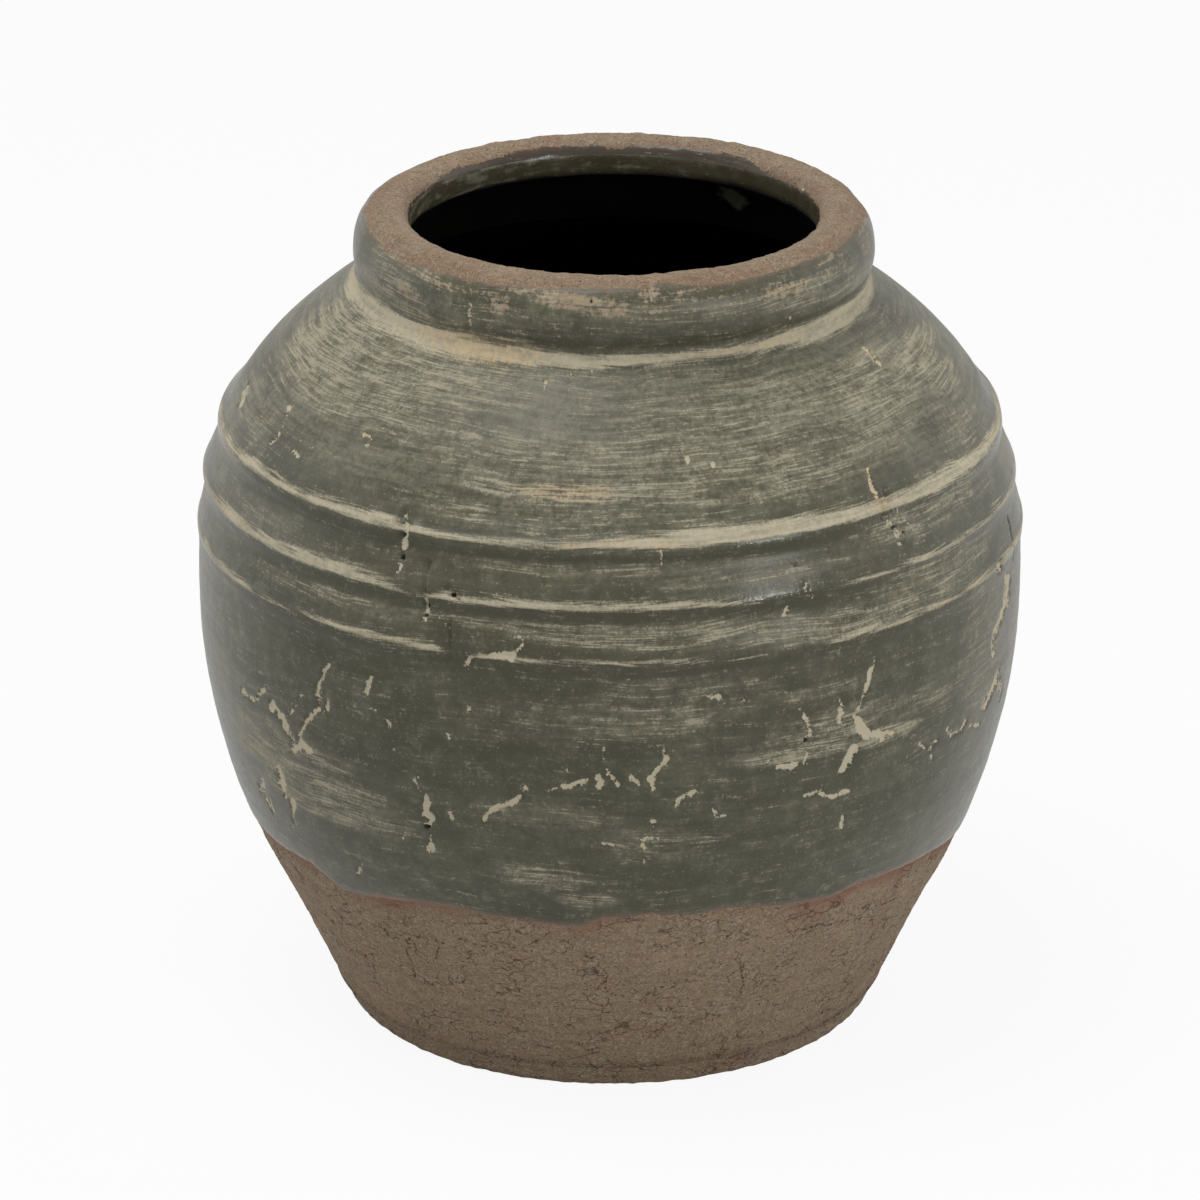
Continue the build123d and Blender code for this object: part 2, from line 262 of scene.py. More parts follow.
# Dry-brushed patches: place in the photograph, half length and half height in mm, strength
BRUSHED_PATCHES = (
    (390, 350, 80, 26, 0.66), (350, 400, 60, 12, 0.6), (322, 340, 36, 24, 0.85),
    (240, 428, 30, 26, 0.42), (530, 516, 60, 8, 0.45), (385, 298, 26, 14, 0.6), (974, 440, 24, 24, 0.46),
    (882, 378, 40, 16, 0.62), (942, 374, 22, 9, 0.7),
    (548, 492, 42, 5, 0.86), (560, 468, 75, 7, 0.52), (500, 440, 64, 9, 0.44),
    (735, 410, 64, 15, 0.44), (800, 392, 46, 12, 0.48), (750, 475, 74, 13, 0.52),
    (690, 448, 60, 9, 0.46), (925, 350, 36, 12, 0.72), (870, 420, 44, 12, 0.42),
    (640, 400, 60, 16, 0.3), (600, 380, 80, 6, 0.36), (450, 385, 50, 14, 0.46),
    (620, 520, 60, 5, 0.34), (760, 577, 50, 3, 0.5), (930, 512, 46, 8, 0.58),
    (962, 470, 44, 8, 0.56), (720, 636, 95, 5, 0.66), (860, 618, 70, 6, 0.62),
    (945, 570, 46, 8, 0.54), (610, 571, 70, 3, 0.4), (600, 631, 90, 3, 0.56),
    (250, 520, 44, 9, 0.36), (300, 550, 50, 5, 0.36), (340, 600, 60, 4, 0.4),
    (292, 772, 62, 8, 0.68), (275, 738, 50, 8, 0.52), (325, 808, 46, 7, 0.66),
    (640, 722, 38, 9, 0.42), (680, 702, 40, 11, 0.3), (800, 752, 32, 4, 0.74),
    (832, 728, 30, 9, 0.52), (830, 688, 28, 3, 0.52), (884, 735, 22, 4, 0.82),
    (544, 878, 20, 7, 0.62), (588, 901, 14, 4, 0.52), (555, 722, 50, 10, 0.22),
    (540, 815, 34, 6, 0.26), (225, 640, 26, 40, 0.26), (985, 650, 22, 34, 0.42),
    (950, 692, 36, 4, 0.46), (905, 702, 26, 3, 0.52), (650, 846, 22, 9, 0.5),
    (500, 318, 44, 4, 0.4), (700, 312, 52, 5, 0.38), (800, 292, 30, 6, 0.52),
    (580, 305, 28, 5, 0.36), (395, 262, 26, 6, 0.5), (850, 280, 26, 8, 0.42),
)
# Slip that fired orange, as the dry-brushed patches
WARM_PATCHES = (
    (488, 352, 24, 7, 0.7), (440, 336, 14, 6, 0.4), (566, 491, 20, 5, 0.45), (571, 541, 5, 3, 0.9),
    (745, 345, 30, 5, 0.3), (300, 505, 26, 4, 0.3), (876, 488, 6, 12, 0.8),
)
# Edge of the belly's glaze and, on the rim, the outer edge of the bare clay
GLAZE_LINE = (
    (268, 834), (310, 862), (343, 890), (371, 897), (403, 901), (450, 906), (492, 915), (520, 918),
    (553, 925), (585, 925), (604, 918), (646, 913), (692, 913), (720, 908), (753, 906), (799, 904),
    (832, 897), (855, 883), (892, 871), (925, 855), (962, 832),
)
RIM_LINE = (
    (364, 222), (375, 243), (392, 259), (420, 266), (456, 277), (487, 283), (536, 288), (585, 290),
    (631, 289), (656, 284), (691, 286), (726, 283), (761, 275), (796, 262), (831, 250), (852, 226),
    (866, 206),
)
# Half the width in mm of each slip line, by degrees to the right of the front
SLIP_WIDTHS = {
    "upper": ((-180, 1.0), (-120, 1.3), (-84, 1.0), (-66, 1.6), (-34, 2.1), (-30, 1.7), (-24, 0.8),
              (-8, 1.3), (2, 2.3), (12, 3.0), (30, 3.1), (42, 2.3), (60, 2.4), (88, 1.5), (130, 0.9),
              (180, 1.0)),
    "middle": ((-180, 0.9), (-120, 1.2), (-84, 1.2), (-66, 2.0), (-38, 2.5), (-31, 1.5), (-27, -0.6),
               (-23, 1.5), (-10, 1.6), (6, 1.4), (16, 1.0), (23, -0.4), (32, 0.4), (50, 1.1), (88, 1.1),
               (130, 1.2), (180, 0.9)),
    "lower": ((-180, 0.7), (-130, 0.5), (-84, 0.7), (-62, 1.0), (-48, 0.3), (-34, 1.3), (-24, 1.8),
              (-21, -0.9), (-17, 1.2), (-10, 0.8), (8, 1.0), (16, 0.3), (24, -0.5), (33, 0.6), (44, 1.2),
              (88, 1.1), (130, 0.5), (180, 0.7)),
}
NECK_WIDTHS = ((-180, 1.8), (-120, 2.8), (-84, 3.2), (-55, 4.2), (-30, 3.8), (-16, 3.2), (0, 2.5), (20, 2.1),
               (38, 2.8), (46, 4.2), (62, 4.3), (88, 3.4), (130, 2.0), (180, 1.8))
# Where each band's crest lies, as a share of the band's height from its foot
CREST_SHARES = {"upper": 0.33, "middle": 0.2, "lower": 0.25}
# Sides that the photograph doesn't show, in degrees to the right of the front: for marks and for patches
UNSEEN_MARKS = (82, 278)
UNSEEN_PATCHES = (86, 274)
# How far outside the throat, along the outline, the inner lip of the rim starts
LIP_START = 14 * MM
# Radius of the unrolled chart on which the marks of the unseen side are laid out
CHART_RADIUS = 0.19
# Studio lamps: name, place, size in metres and the setting that holds the power
LAMPS = (
    ("key", (1.4, -1.5, 0.85), 0.35, "key"),
    ("overhead", (-0.6, -0.25, 2.6), 1.3, "top"),
    ("right_panel", (2.1, 0.3, 0.9), 1.5, "side"),
    ("left_panel", (-2.1, 0.3, 0.9), 1.5, "side"),
)
LAMP_AIM = (0, 0, 0.22)
# Floor: half its side in metres, its grey, its roughness and how white the camera sees it
FLOOR_HALF = 6.0
FLOOR_GREY = 0.7
FLOOR_ROUGHNESS = 0.9
FLOOR_WHITENESS = 0.92
# Where the coils of each band meet, in degrees to the right of the front
COIL_JOINTS = {"lower": (-22.0, 75.0, 190.0), "middle": (-26.0, 150.0), "upper": (-31.0, 44.0, 170.0)}


def paint(red, green, blue):
    """A colour as a screen shows it, from 0 to 255, as the light that it sends back."""
    shares = [value / 255 for value in (red, green, blue)]
    return tuple(s / 12.92 if s <= 0.04045 else ((s + 0.055) / 1.055) ** 2.4 for s in shares)


def length_property(name, about, value):
    """A length that a user may change, given in millimetres."""
    return bpy.props.FloatProperty(
        name=name, description=about, default=value * MM, unit="LENGTH", precision=5)


def colour_property(name, about, red, green, blue):
    """A colour that a user may change."""
    return bpy.props.FloatVectorProperty(
        name=name, description=about, default=paint(red, green, blue), subtype="COLOR", min=0, max=1)


class JarShape(bpy.types.PropertyGroup):
    """Sizes of the jar's surface."""

    columns: bpy.props.IntProperty(name="Columns", description="Faces round the jar", default=1152)
    seed: bpy.props.IntProperty(name="Seed", description="Start of everything random", default=7)
    foot_step: length_property("Foot rows", "Distance between rows on the foot", 1.9)
    body_step: length_property("Body rows", "Distance between rows on the belly and shoulder", 1.15)
    rim_step: length_property("Rim rows", "Distance between rows on the rim and throat", 1.3)
    wall: length_property("Wall", "Thickness of the wall pieces", 9.0)
    skin: length_property("Skin", "Thickness of the rim, neck and throat pieces", 4.0)
    glaze: length_property("Glaze", "Thickness of the glaze over the clay", 0.8)
    slip: length_property("Slip", "Relief of the slip lines", 0.4)
    chip: length_property("Chips", "Depth of the chips and cracks in the glaze", 0.55)
    pinhole: length_property("Pinholes", "Depth of the pinholes", 2.4)
    joint: length_property("Coil joints", "Depth of the nicks where coils meet", 1.6)
    lean: length_property("Lean", "How far the rim was thrown off to the right", 1.8)
    land: length_property("Land", "Depth below the rim's top at which the throat's upright land ends", 17.0)
    lip: length_property("Lip", "How far the inside's glaze runs up over the rim at the back", 4.6)
    wobble: length_property("Wobble", "How unevenly the wall was thrown", 0.7)
    grain: length_property("Grain", "Radius of the grit in the bare clay", 0.55)


class JarColours(bpy.types.PropertyGroup):
    """Colours of the glaze, slip and clay."""

    glaze: colour_property("Glaze", "Grey-green glaze", 88, 87, 70)
    # Dark glaze is also the colour of the painted shade under the bands
    glaze_dark: colour_property("Dark glaze", "Glaze where it runs thick", 65, 63, 47)
    # Hazed glaze is also the colour of the painted top light and sheen on the shoulder
    glaze_haze: colour_property("Hazed glaze", "Glaze where it is rubbed pale", 124, 121, 104)
    slip: colour_property("Slip", "Pale slip", 184, 174, 150)
    slip_warm: colour_property("Warm slip", "Slip where it is thick and orange", 196, 170, 130)
    brushed: colour_property("Brushed slip", "Slip dragged thin over the glaze", 166, 160, 138)
    clay: colour_property("Clay", "Bare fired clay", 118, 98, 79)
    clay_pale: colour_property("Pale clay", "Clay bloomed with lime", 156, 139, 116)
    clay_dark: colour_property("Dark clay", "Grit and cracks in the clay", 62, 50, 41)
    fringe: colour_property("Fringe", "Red edge where the glaze ends", 120, 84, 67)
    throat: colour_property("Throat", "Dark glaze in the throat", 70, 65, 50)
    # Black that paints the shade inside the jar and in the pinholes
    deep: colour_property("Deep inside", "Black glaze below the throat", 4, 4, 3)


class JarLight(bpy.types.PropertyGroup):
    """Studio light."""

    key: bpy.props.FloatProperty(
        name="Key", description="Power of the low soft box at the front right", default=10)
    top: bpy.props.FloatProperty(name="Top", description="Power of the soft box overhead", default=33)
    side: bpy.props.FloatProperty(name="Side", description="Power of each side panel", default=6)
    room: bpy.props.FloatProperty(name="Room", description="Strength of the light all round", default=0.5)


def near(value, low, high):
    """A smooth rise from 0 at the low value to 1 at the high one."""
    share = np.clip((value - low) / (high - low), 0, 1)
    return share * share * (3 - 2 * share)


def lattice_noise(points, size, seed):
    """Smooth noise from -1 to 1 at points, its bumps about a size apart."""
    scaled = points / np.array(size)
    cell = np.floor(scaled).astype(np.int64)
    part = scaled - cell
    part = part * part * (3 - 2 * part)
    total = np.zeros(points.shape[:-1])
    for corner in product((0, 1), repeat=3):
        # The cell's numbers, mixed into one that looks random
        at = cell + np.array(corner)
        mixed = at[..., 0] * 374761393 + at[..., 1] * 668265263 + at[..., 2] * 1440662683 + seed * 974634777
        mixed = (mixed ^ (mixed >> 13)) * 1274126177
        mixed = (mixed ^ (mixed >> 16)) & 0xFFFFFF
        weight = np.prod(np.where(np.array(corner) == 1, part, 1 - part), axis=-1)
        total += weight * mixed
    return total / 0x7FFFFF - 1


def soften(values, reach):
    """Values along the outline, each averaged with its neighbours over a reach in samples."""
    offsets = np.arange(-3 * reach, 3 * reach + 1)
    weights = np.exp(-0.5 * (offsets / reach) ** 2)
    padded = np.pad(values, 3 * reach, mode="reflect", reflect_type="odd")
    return np.convolve(padded, weights / weights.sum(), mode="valid")


def height_of(node, corner):
    """The height of a node's lowest (0) or highest (1) corner."""
    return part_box(node)[corner].z


@lru_cache(maxsize=None)
def outline():
    """The jar's line from its foot over the rim and down the throat, and the throat's top.

    Each point of the line has a radius, a height and a share of glaze.
    """
    names = ("base_disc", "foot_wall", "belly_glaze", "band_glaze", "shoulder_glaze", "neck_slip", "rim_roll",
             "rim_glaze", "throat_glaze")
    corners, faces = [], []
    for name in names:
        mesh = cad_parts[name].data
        first = len(corners)
        corners.extend(v.co.copy() for v in mesh.vertices)
        faces.extend([first + index for index in polygon.vertices] for polygon in mesh.polygons)
    tree = BVHTree.FromPolygons(corners, faces)
    spokes = [Vector((cos(turn), sin(turn), 0)) for turn in np.linspace(0, 2 * pi, 12, endpoint=False) + 0.1]
    spoke_length = 0.5
    sample = 0.5 * MM
    # The rim's round section: its depth from the middle, the turn at which its inner edge ends, and how
    # far off the rays on it start
    roll_depth = 12.5 * MM
    roll_size = 14 * MM
    roll_turn = radians(139)
    roll_start = 30 * MM

    def reach(start_of, heading_of):
        hits = [tree.ray_cast(start_of(spoke), heading_of(spoke))[0] for spoke in spokes]
        return max((hit for hit in hits if hit is not None), key=lambda hit: hit.xy.length, default=None)

    def outer_hit(height):
        return reach(lambda spoke: spoke * spoke_length + Vector((0, 0, height)), lambda spoke: -spoke)

    def inner_hit(height):
        return reach(lambda spoke: Vector((0, 0, height)), lambda spoke: spoke)

    rim_low, rim_top = height_of("neck_slip", 1), height_of("rim_roll", 1)
    rim_hits = (outer_hit(height) for height in np.arange(rim_low, rim_top - 4 * MM, sample))
    widest = max(rim_hits, key=lambda hit: hit.xy.length)
    roll_radius = widest.xy.length - roll_depth

    def roll_hit(turn):
        up, out = sin(turn), cos(turn)
        lift = Vector((0, 0, widest.z + roll_start * up))
        return reach(
            lambda spoke: spoke * (roll_radius + roll_start * out) + lift,
            lambda spoke: -spoke * out - Vector((0, 0, up)))

    hits = [outer_hit(height) for height in np.arange(0.4 * MM, widest.z, sample)]
    hits += [roll_hit(turn) for turn in np.arange(0.02, roll_turn, sample / roll_size)]
    throat_top = hits[-1].z
    throat_foot = height_of("throat_glaze", 0)
    hits += [inner_hit(height) for height in np.arange(throat_top - MM, throat_foot + 0.2 * MM, -sample)]
    points = np.array([(hit.xy.length, hit.z) for hit in hits if hit is not None])
    points = np.concatenate([points, [2 * points[-1] - points[-2]]])
    glaze = bpy.context.scene.jar_shape.glaze
    glazed = (points[:, 1] > height_of("belly_glaze", 0)) * 1.0
    blur = 3
    share = soften(glazed, blur)
    radius = soften(points[:, 0] - glaze * glazed, blur) + glaze * share
    return np.stack([radius, soften(points[:, 1], blur), share], axis=1), throat_top


def along(points):
    """The distance along a line of points from its first one."""
    steps = np.hypot(*np.diff(points, axis=0).T)
    return np.concatenate([[0], np.cumsum(steps)])


def closeness(chart, strokes, reach=-FAR):
    """How far inside the nearest stroke each place of a flat chart lies, below zero outside."""
    best = np.full(len(chart), -reach)
    for half_width, *points in strokes:
        line = np.array(points * 2 if len(points) == 1 else points, float)
        inside = np.all((chart > line.min(0) - reach) & (chart < line.max(0) + reach), axis=1)
        places = np.nonzero(inside)[0]
        for start, end in zip(line, line[1:]):
            run = end - start
            share = np.clip((chart[places] - start) @ run / max(run @ run, 1e-9), 0, 1)
            gap = np.hypot(*(chart[places] - start - share[:, None] * run).T)
            best[places] = np.maximum(best[places], half_width - gap)
    return best


class Surface:
    """The grid of rows round the jar, with its fields and its displaced points."""

    def __init__(self):
        shape = bpy.context.scene.jar_shape
        self.shape = shape
        self.rng = np.random.default_rng(shape.seed)
        path, throat_top = outline()
        distance = along(path[:, :2])
        self.set_rows(path, distance, throat_top)
        self.turn = np.linspace(-pi, pi, shape.columns, endpoint=False)
        radius, height = self.rows[:, 0], self.rows[:, 1]
        self.base = np.stack([
            radius[:, None] * np.sin(self.turn), -radius[:, None] * np.cos(self.turn),
            height[:, None] + 0 * self.turn], axis=-1)
        self.out = np.stack([
            self.normals[:, :1] * np.sin(self.turn), -self.normals[:, :1] * np.cos(self.turn),
            self.normals[:, 1:] + 0 * self.turn], axis=-1)
        self.look()
        self.mark()
        self.press()

    def set_rows(self, path, distance, throat_top):
        """Lay out the rows, with the heights and distances where one piece ends and the next begins."""
        shape = self.shape
        outer = path[:, 1].argmax()

        def place(height):
            return float(np.interp(height, path[:outer, 1], distance[:outer]))

        middles = [
            (height_of("lower_band_coil_1", 1) + height_of("middle_band_coil_1", 0)) / 2,
            (height_of("middle_band_coil_1", 1) + height_of("upper_band_coil_1", 0)) / 2,
        ]
        throat = float(distance[outer + np.abs(path[outer:, 1] - throat_top).argmin()])
        land_foot = height_of("rim_roll", 1) - shape.land - 1.5 * MM
        below = float(distance[outer + np.abs(path[outer:, 1] - land_foot).argmin()])
        self.cuts = {
            "foot": 0.0,
            "lower_belly": place(height_of("belly_glaze", 0)),
            "upper_belly": place(height_of("upper_belly_wall", 0)),
            "lower_band": place(height_of("lower_band_coil_1", 0)),
            "middle_band": place(middles[0]),
            "upper_band": place(middles[1]),
            "shoulder": place(height_of("upper_band_coil_1", 1)),
            "neck": place(height_of("neck_slip", 0)),
            "rim": place(height_of("neck_slip", 1)),
            "throat": throat,
            "below": below,
            "end": float(distance[-1]),
        }
        steps = {"foot": shape.foot_step, "rim": shape.rim_step, "throat": shape.rim_step,
                 "below": 2 * shape.rim_step}
        self.first = {}
        stations = []
        for name in list(self.cuts)[:-1]:
            self.first[name] = len(stations)
            low, high = self.cuts[name], self.cuts[self.after(name)]
            count = max(4, round((high - low) / steps.get(name, shape.body_step)))
            stations.extend(np.linspace(low, high, count, endpoint=False))
        self.first["end"] = len(stations)
        stations.append(self.cuts["end"])
        self.station = np.array(stations)
        self.rows = np.stack([np.interp(self.station, distance, path[:, k]) for k in (0, 1)], axis=1)
        self.glazed = np.interp(self.station, distance, path[:, 2])[:, None]
        slope = np.gradient(self.rows, self.station, axis=0)
        slope /= np.hypot(*slope.T)[:, None]
        self.normals = np.stack([slope[:, 1], -slope[:, 0]], axis=1)
        self.place = place

    def after(self, zone):
        """The zone that follows a zone."""
        names = list(self.cuts)
        return names[names.index(zone) + 1]

    def band_edges(self, band):
        """Where a band's lower and upper edge lie along the outline."""
        return tuple(self.place(height_of(f"{band}_band_coil_1", corner)) for corner in (0, 1))

    def look(self):
        """Where each point of the grid falls in the photograph, and whether it faces the camera."""
        pitch, yaw = radians(CAMERA_PITCH), radians(CAMERA_YAW)
        ahead = np.array([-sin(yaw) * cos(pitch), cos(yaw) * cos(pitch), -sin(pitch)])
        right = np.array([cos(yaw), sin(yaw), 0])
        up = np.cross(right, ahead)
        away = self.base - np.array(CAMERA_PLACE)
        depth = away @ ahead
        focal = CAMERA_LENS / CAMERA_SENSOR * PHOTO_SIZE
        across, down = focal * (away @ right) / depth, focal * (away @ up) / depth
        self.pixel = np.stack([PHOTO_SIZE / 2 + across, PHOTO_SIZE / 2 - down], axis=-1)
        self.facing = -(away * self.out).sum(-1) / np.linalg.norm(away, axis=-1)

    def spot(self, pixel, first="foot", last="end"):
        """The turn and the distance along the outline of the grid point that a pixel shows."""
        low, high = self.first[first], self.first[last]
        least_facing, out_of_sight = 0.03, 1e6
        gap = np.hypot(*(self.pixel[low:high] - np.array(pixel)).transpose(2, 0, 1))
        gap[self.facing[low:high] < least_facing] = out_of_sight
        row, column = np.unravel_index(gap.argmin(), gap.shape)
        return self.turn[column], self.station[low + row]

    def around(self, points, low, high, wave):
        """A line round the jar through its points in the photograph, wavy where none shows it."""
        spots = sorted(self.spot(point, low, high) for point in points)
        turns = np.array([turn for turn, _ in spots])
        places = np.array([place for _, place in spots])
        ends = places[0], places[-1]
        turns = np.concatenate([[turns[-1] - 2 * pi], turns, [turns[0] + 2 * pi]])
        places = np.concatenate([[ends[1]], places, [ends[0]]])
        line = np.interp(self.turn, turns, places)
        circle = np.stack([np.sin(self.turn), np.cos(self.turn), 0 * self.turn], axis=-1)
        unseen = near(np.abs(self.turn), radians(78), radians(100))
        waves = lattice_noise(circle, 0.45, 31) + 0.5 * lattice_noise(circle, 0.16, 32)
        return line + wave * unseen * waves

    def gaps(self, turn, place):
        """How far each point lies from a place, round the jar and along the outline, in mm."""
        least_radius = 0.05
        radius = np.maximum(self.rows[:, :1], least_radius)
        return np.angle(np.exp(1j * (self.turn - turn))) * radius / MM, (self.station[:, None] - place) / MM

    def oval(self, turn, place, length, tall):
        """A soft-edged oval patch, 1 in its middle and 0 outside, from half its sizes in mm."""
        round_gap, tall_gap = self.gaps(turn, place)
        return near(1 - (round_gap / length) ** 2 - (tall_gap / tall) ** 2, -0.9, 0.6)

    def hump(self, turn, place, size):
        """A round hump, 1 in its middle and fading out over its size in mm."""
        round_gap, tall_gap = self.gaps(turn, place)
        return np.exp(-2 * (round_gap**2 + tall_gap**2) / size**2)

    def patches(self, table, drawn=()):
        """The strongest at each point of a table's patches, placed in the photograph, and drawn ones."""
        placed = [(*self.spot((x, y)), *rest) for x, y, *rest in table]
        field = np.zeros(self.base.shape[:2])
        for turn, place, length, tall, strength in (*placed, *drawn):
            field = np.maximum(field, strength * self.oval(turn, place, length, tall))
        return field

    def draw_patch(self, low, high, lengths, heights, strengths):
        """A random patch on the unseen side, between two places on the outline."""
        turn = self.rng.uniform(*np.radians(UNSEEN_PATCHES))
        return (turn, self.rng.uniform(low, high), self.rng.uniform(*lengths), self.rng.uniform(*heights),
                self.rng.uniform(*strengths))

    def unseen_marks(self):
        """Cracks, chips and spots for the side that the photograph doesn't show, in mm on the chart."""
        marks = []
        rng = self.rng
        # Where they start and end along the outline, and how many there are
        zones = (("lower_belly", "upper_belly", 16), ("upper_belly", "lower_band", 15),
                 ("lower_band", "shoulder", 6), ("shoulder", "neck", 9), ("rim", "throat", 5))
        for low, high, count in zones:
            for _ in range(count):
                at = np.array([rng.uniform(*np.radians(UNSEEN_MARKS)) * CHART_RADIUS,
                               rng.uniform(self.cuts[low], self.cuts[high])]) / MM
                heading = rng.uniform(0, 2 * pi)
                line = [tuple(at)]
                for _ in range(rng.integers(0, 6)):
                    heading += rng.normal(0, 0.7)
                    at = at + rng.uniform(2.5, 6.5) * np.array([cos(heading), sin(heading)])
                    line.append(tuple(at))
                marks.append((rng.uniform(0.5, 1.5), *line))
                if len(line) > 3:
                    fork = np.array(line[2])
                    ends = [tuple(fork + rng.normal(0, 5, 2))]
                    marks.append((rng.uniform(0.5, 1.8), tuple(fork), *ends))
        return marks

    def mark(self):
        """Set the fields that the glaze, slip and clay are shaped and coloured by, in mm or as shares."""
        rows, columns = self.base.shape[:2]
        station = np.repeat(self.station[:, None], columns, axis=1)
        turn = np.repeat(self.turn[None, :], rows, axis=0)
        seen = (self.facing > 0.04).ravel()
        flat_pixel = self.pixel.reshape(-1, 2)[seen]

        wander = np.stack([
            1.1 * lattice_noise(self.base, 7 * MM, 51 + k) + 0.7 * lattice_noise(self.base, 2.6 * MM, 61 + k)
            for k in (0, 1)], axis=-1).reshape(-1, 2)
        flat_pixel = flat_pixel + PIXELS_PER_MM * wander[seen]

        def from_photo(strokes):
            field = np.full(rows * columns, FAR)
            field[seen] = closeness(flat_pixel, strokes, -2 * FAR) / PIXELS_PER_MM
            return field.reshape(rows, columns)

        unrolled = np.stack([np.mod(turn, 2 * pi) * CHART_RADIUS, station], axis=-1)
        unrolled = unrolled.reshape(-1, 2) / MM + wander
        chips = from_photo(BELLY_MARKS + SHOULDER_MARKS + BAND_MARKS + RIM_MARKS)
        unseen = closeness(unrolled, self.unseen_marks()).reshape(rows, columns)
        crumbled = 0.7 * lattice_noise(self.base, 4.4 * MM, 71) + 0.5 * lattice_noise(self.base, 2.4 * MM, 72)
        self.chips = np.maximum(chips, unseen) + crumbled
        self.cracks = from_photo(CLAY_CRACKS)
        self.pits = from_photo([(size, place) for size, place in PINHOLES])

        foot_line = self.around(GLAZE_LINE, "foot", "upper_belly", 7 * MM)
        rim_line = self.around(RIM_LINE, "rim", "throat", 2.5 * MM)
        above_foot = (station - foot_line) / MM
        on_rim = station > self.cuts["rim"]
        outside_rim = (rim_line - station) / MM
        back = near(np.abs(self.turn), radians(112), radians(150))
        inside_throat = (station - self.cuts["throat"] + self.shape.lip * (0.15 + 0.85 * back)) / MM
        inside_throat = inside_throat + 1.6 * lattice_noise(self.base, 0.02, 73)
        self.cover = np.where(on_rim, np.maximum(outside_rim, inside_throat), above_foot)
        self.cover = np.clip(self.cover, 2 * FAR, -2 * FAR)
        self.course = station
        edge = rim_line.min()
        self.worn = self.patches(WORN_PATCHES, [
            self.draw_patch(edge - 12 * MM, edge, (8, 26), (3, 7), (0.4, 0.95)) for _ in range(9)])
        drawn = []
        for _ in range(34):
            zone = self.rng.choice(
                ["lower_belly", "upper_belly", "lower_band", "shoulder", "shoulder", "middle_band"])
            ends = self.cuts[zone], self.cuts[self.after(zone)]
            drawn.append(self.draw_patch(*ends, (25, 75), (3, 14), (0.35, 0.75)))
        self.brush = self.patches(BRUSHED_PATCHES, drawn)
        self.warm = self.patches(WARM_PATCHES)

        self.line = np.full((rows, columns), FAR)
        for band, widths in SLIP_WIDTHS.items():
            low, high = self.band_edges(band)
            crest = low + CREST_SHARES[band] * (high - low)
            half = np.interp(np.degrees(self.turn), *zip(*widths))
            above = station / MM - crest / MM - half - 0.8
            self.line = np.maximum(self.line, half - np.maximum(-above, 0.5 * above))
        neck = (self.cuts["neck"] + self.cuts["rim"]) / 2 / MM
        half = np.interp(np.degrees(self.turn), *zip(*NECK_WIDTHS))
        below = neck - station / MM
        self.line = np.maximum(self.line, half - np.maximum(-below, 0.6 * below))

        # Painted shade darkens the glaze just under each band; the same field also darkens the lip, as the
        # dark inner glaze over it. A second field pales and dulls the glaze, as rubbed wear and as painted
        # top light and sheen on the shoulder, and below zero polishes it
        self.shade = np.zeros((rows, columns))
        # Painted shade: a dark strip of glaze just under each band's crest, where its underside faces down
        for band in COIL_JOINTS:
            low, high = self.band_edges(band)
            under = low + 0.12 * (high - low)
            self.shade = np.maximum(self.shade, np.exp(-(((station - under) / (3.4 * MM)) ** 2)))
        lip = near(station, self.cuts["throat"] - LIP_START, self.cuts["throat"] - 11 * MM)
        self.shade = np.maximum(self.shade, 1.4 * lip)
        # The shoulder and rim glaze turn paler and duller: rubbed wear, and painted top light and sheen
        rising = near(station, self.cuts["shoulder"], self.cuts["shoulder"] + 12 * MM)
        self.haze = rising * (station < self.cuts["rim"]) + 0.25 * (station >= self.cuts["rim"]) - 1.3 * lip
        for band in COIL_JOINTS:
            low, high = self.band_edges(band)
            from_crest = station - low - 0.3 * (high - low)
            self.haze = self.haze - 1.3 * np.exp(-((from_crest / (1.8 * MM)) ** 2))

    def press(self):
        """Move the points along the outward direction by what the fields and the throwing ask for."""
        shape = self.shape
        base, station = self.base, self.station[:, None]
        covered = near(self.cover, -2.6, 2.6)
        rim = near(station, self.cuts["rim"], self.cuts["rim"] + 6 * MM)
        throat = near(station, self.cuts["throat"] - 2 * MM, self.cuts["throat"] + 2 * MM)
        move = shape.wobble * 0.5 * (lattice_noise(base, 0.12, 1) - 1) * (1 - 0.8 * rim)
        bare = (1 - covered) * (1 - throat)
        # Unevenness: its height in mm, the size of its bumps in metres, its seed and where it lies
        uneven = (
            (0.18, (0.035, 0.035, 0.02), 2, 1),
            (0.10, (0.06, 0.06, 0.0035), 3, covered),
            (0.30, 0.006, 4, bare),
            (0.22, 0.0028, 5, bare),
            (0.35, 0.014, 6, rim * (1 - throat)),
            (0.22, 0.006, 9, station > self.cuts["throat"] - LIP_START),
        )
        for height, size, seed, where in uneven:
            move += height * MM * lattice_noise(base, size, seed) * where
        notch = near(lattice_noise(base, 0.011, 8), 0.45, 0.85) * bare * rim
        move -= 1.1 * MM * notch
        rim_glazed = self.place(height_of("rim_glaze", 1))
        glazed = self.glazed * (1 - near(station, rim_glazed - 1.5 * MM, rim_glazed + 1.5 * MM))
        outside = 1 - near(station, self.cuts["throat"] - LIP_START, self.cuts["throat"] - 10 * MM)
        move += shape.glaze * (covered - glazed) * outside
        move -= shape.chip * near(self.chips, -0.5, 0.6)
        unchipped = 1 - near(self.chips, -0.5, 0.6)
        move += shape.slip * near(self.line, -0.8, 0.9) * unchipped * (1 - rim)
        move -= 0.4 * MM * near(self.cracks, -0.4, 0.5)
        move -= shape.pinhole * near(self.pits, -0.5, 0.5)
        for band, joints in COIL_JOINTS.items():
            low, high = self.band_edges(band)
            inside = near(station, low - MM, low + 2 * MM) * (1 - near(station, high - 2 * MM, high))
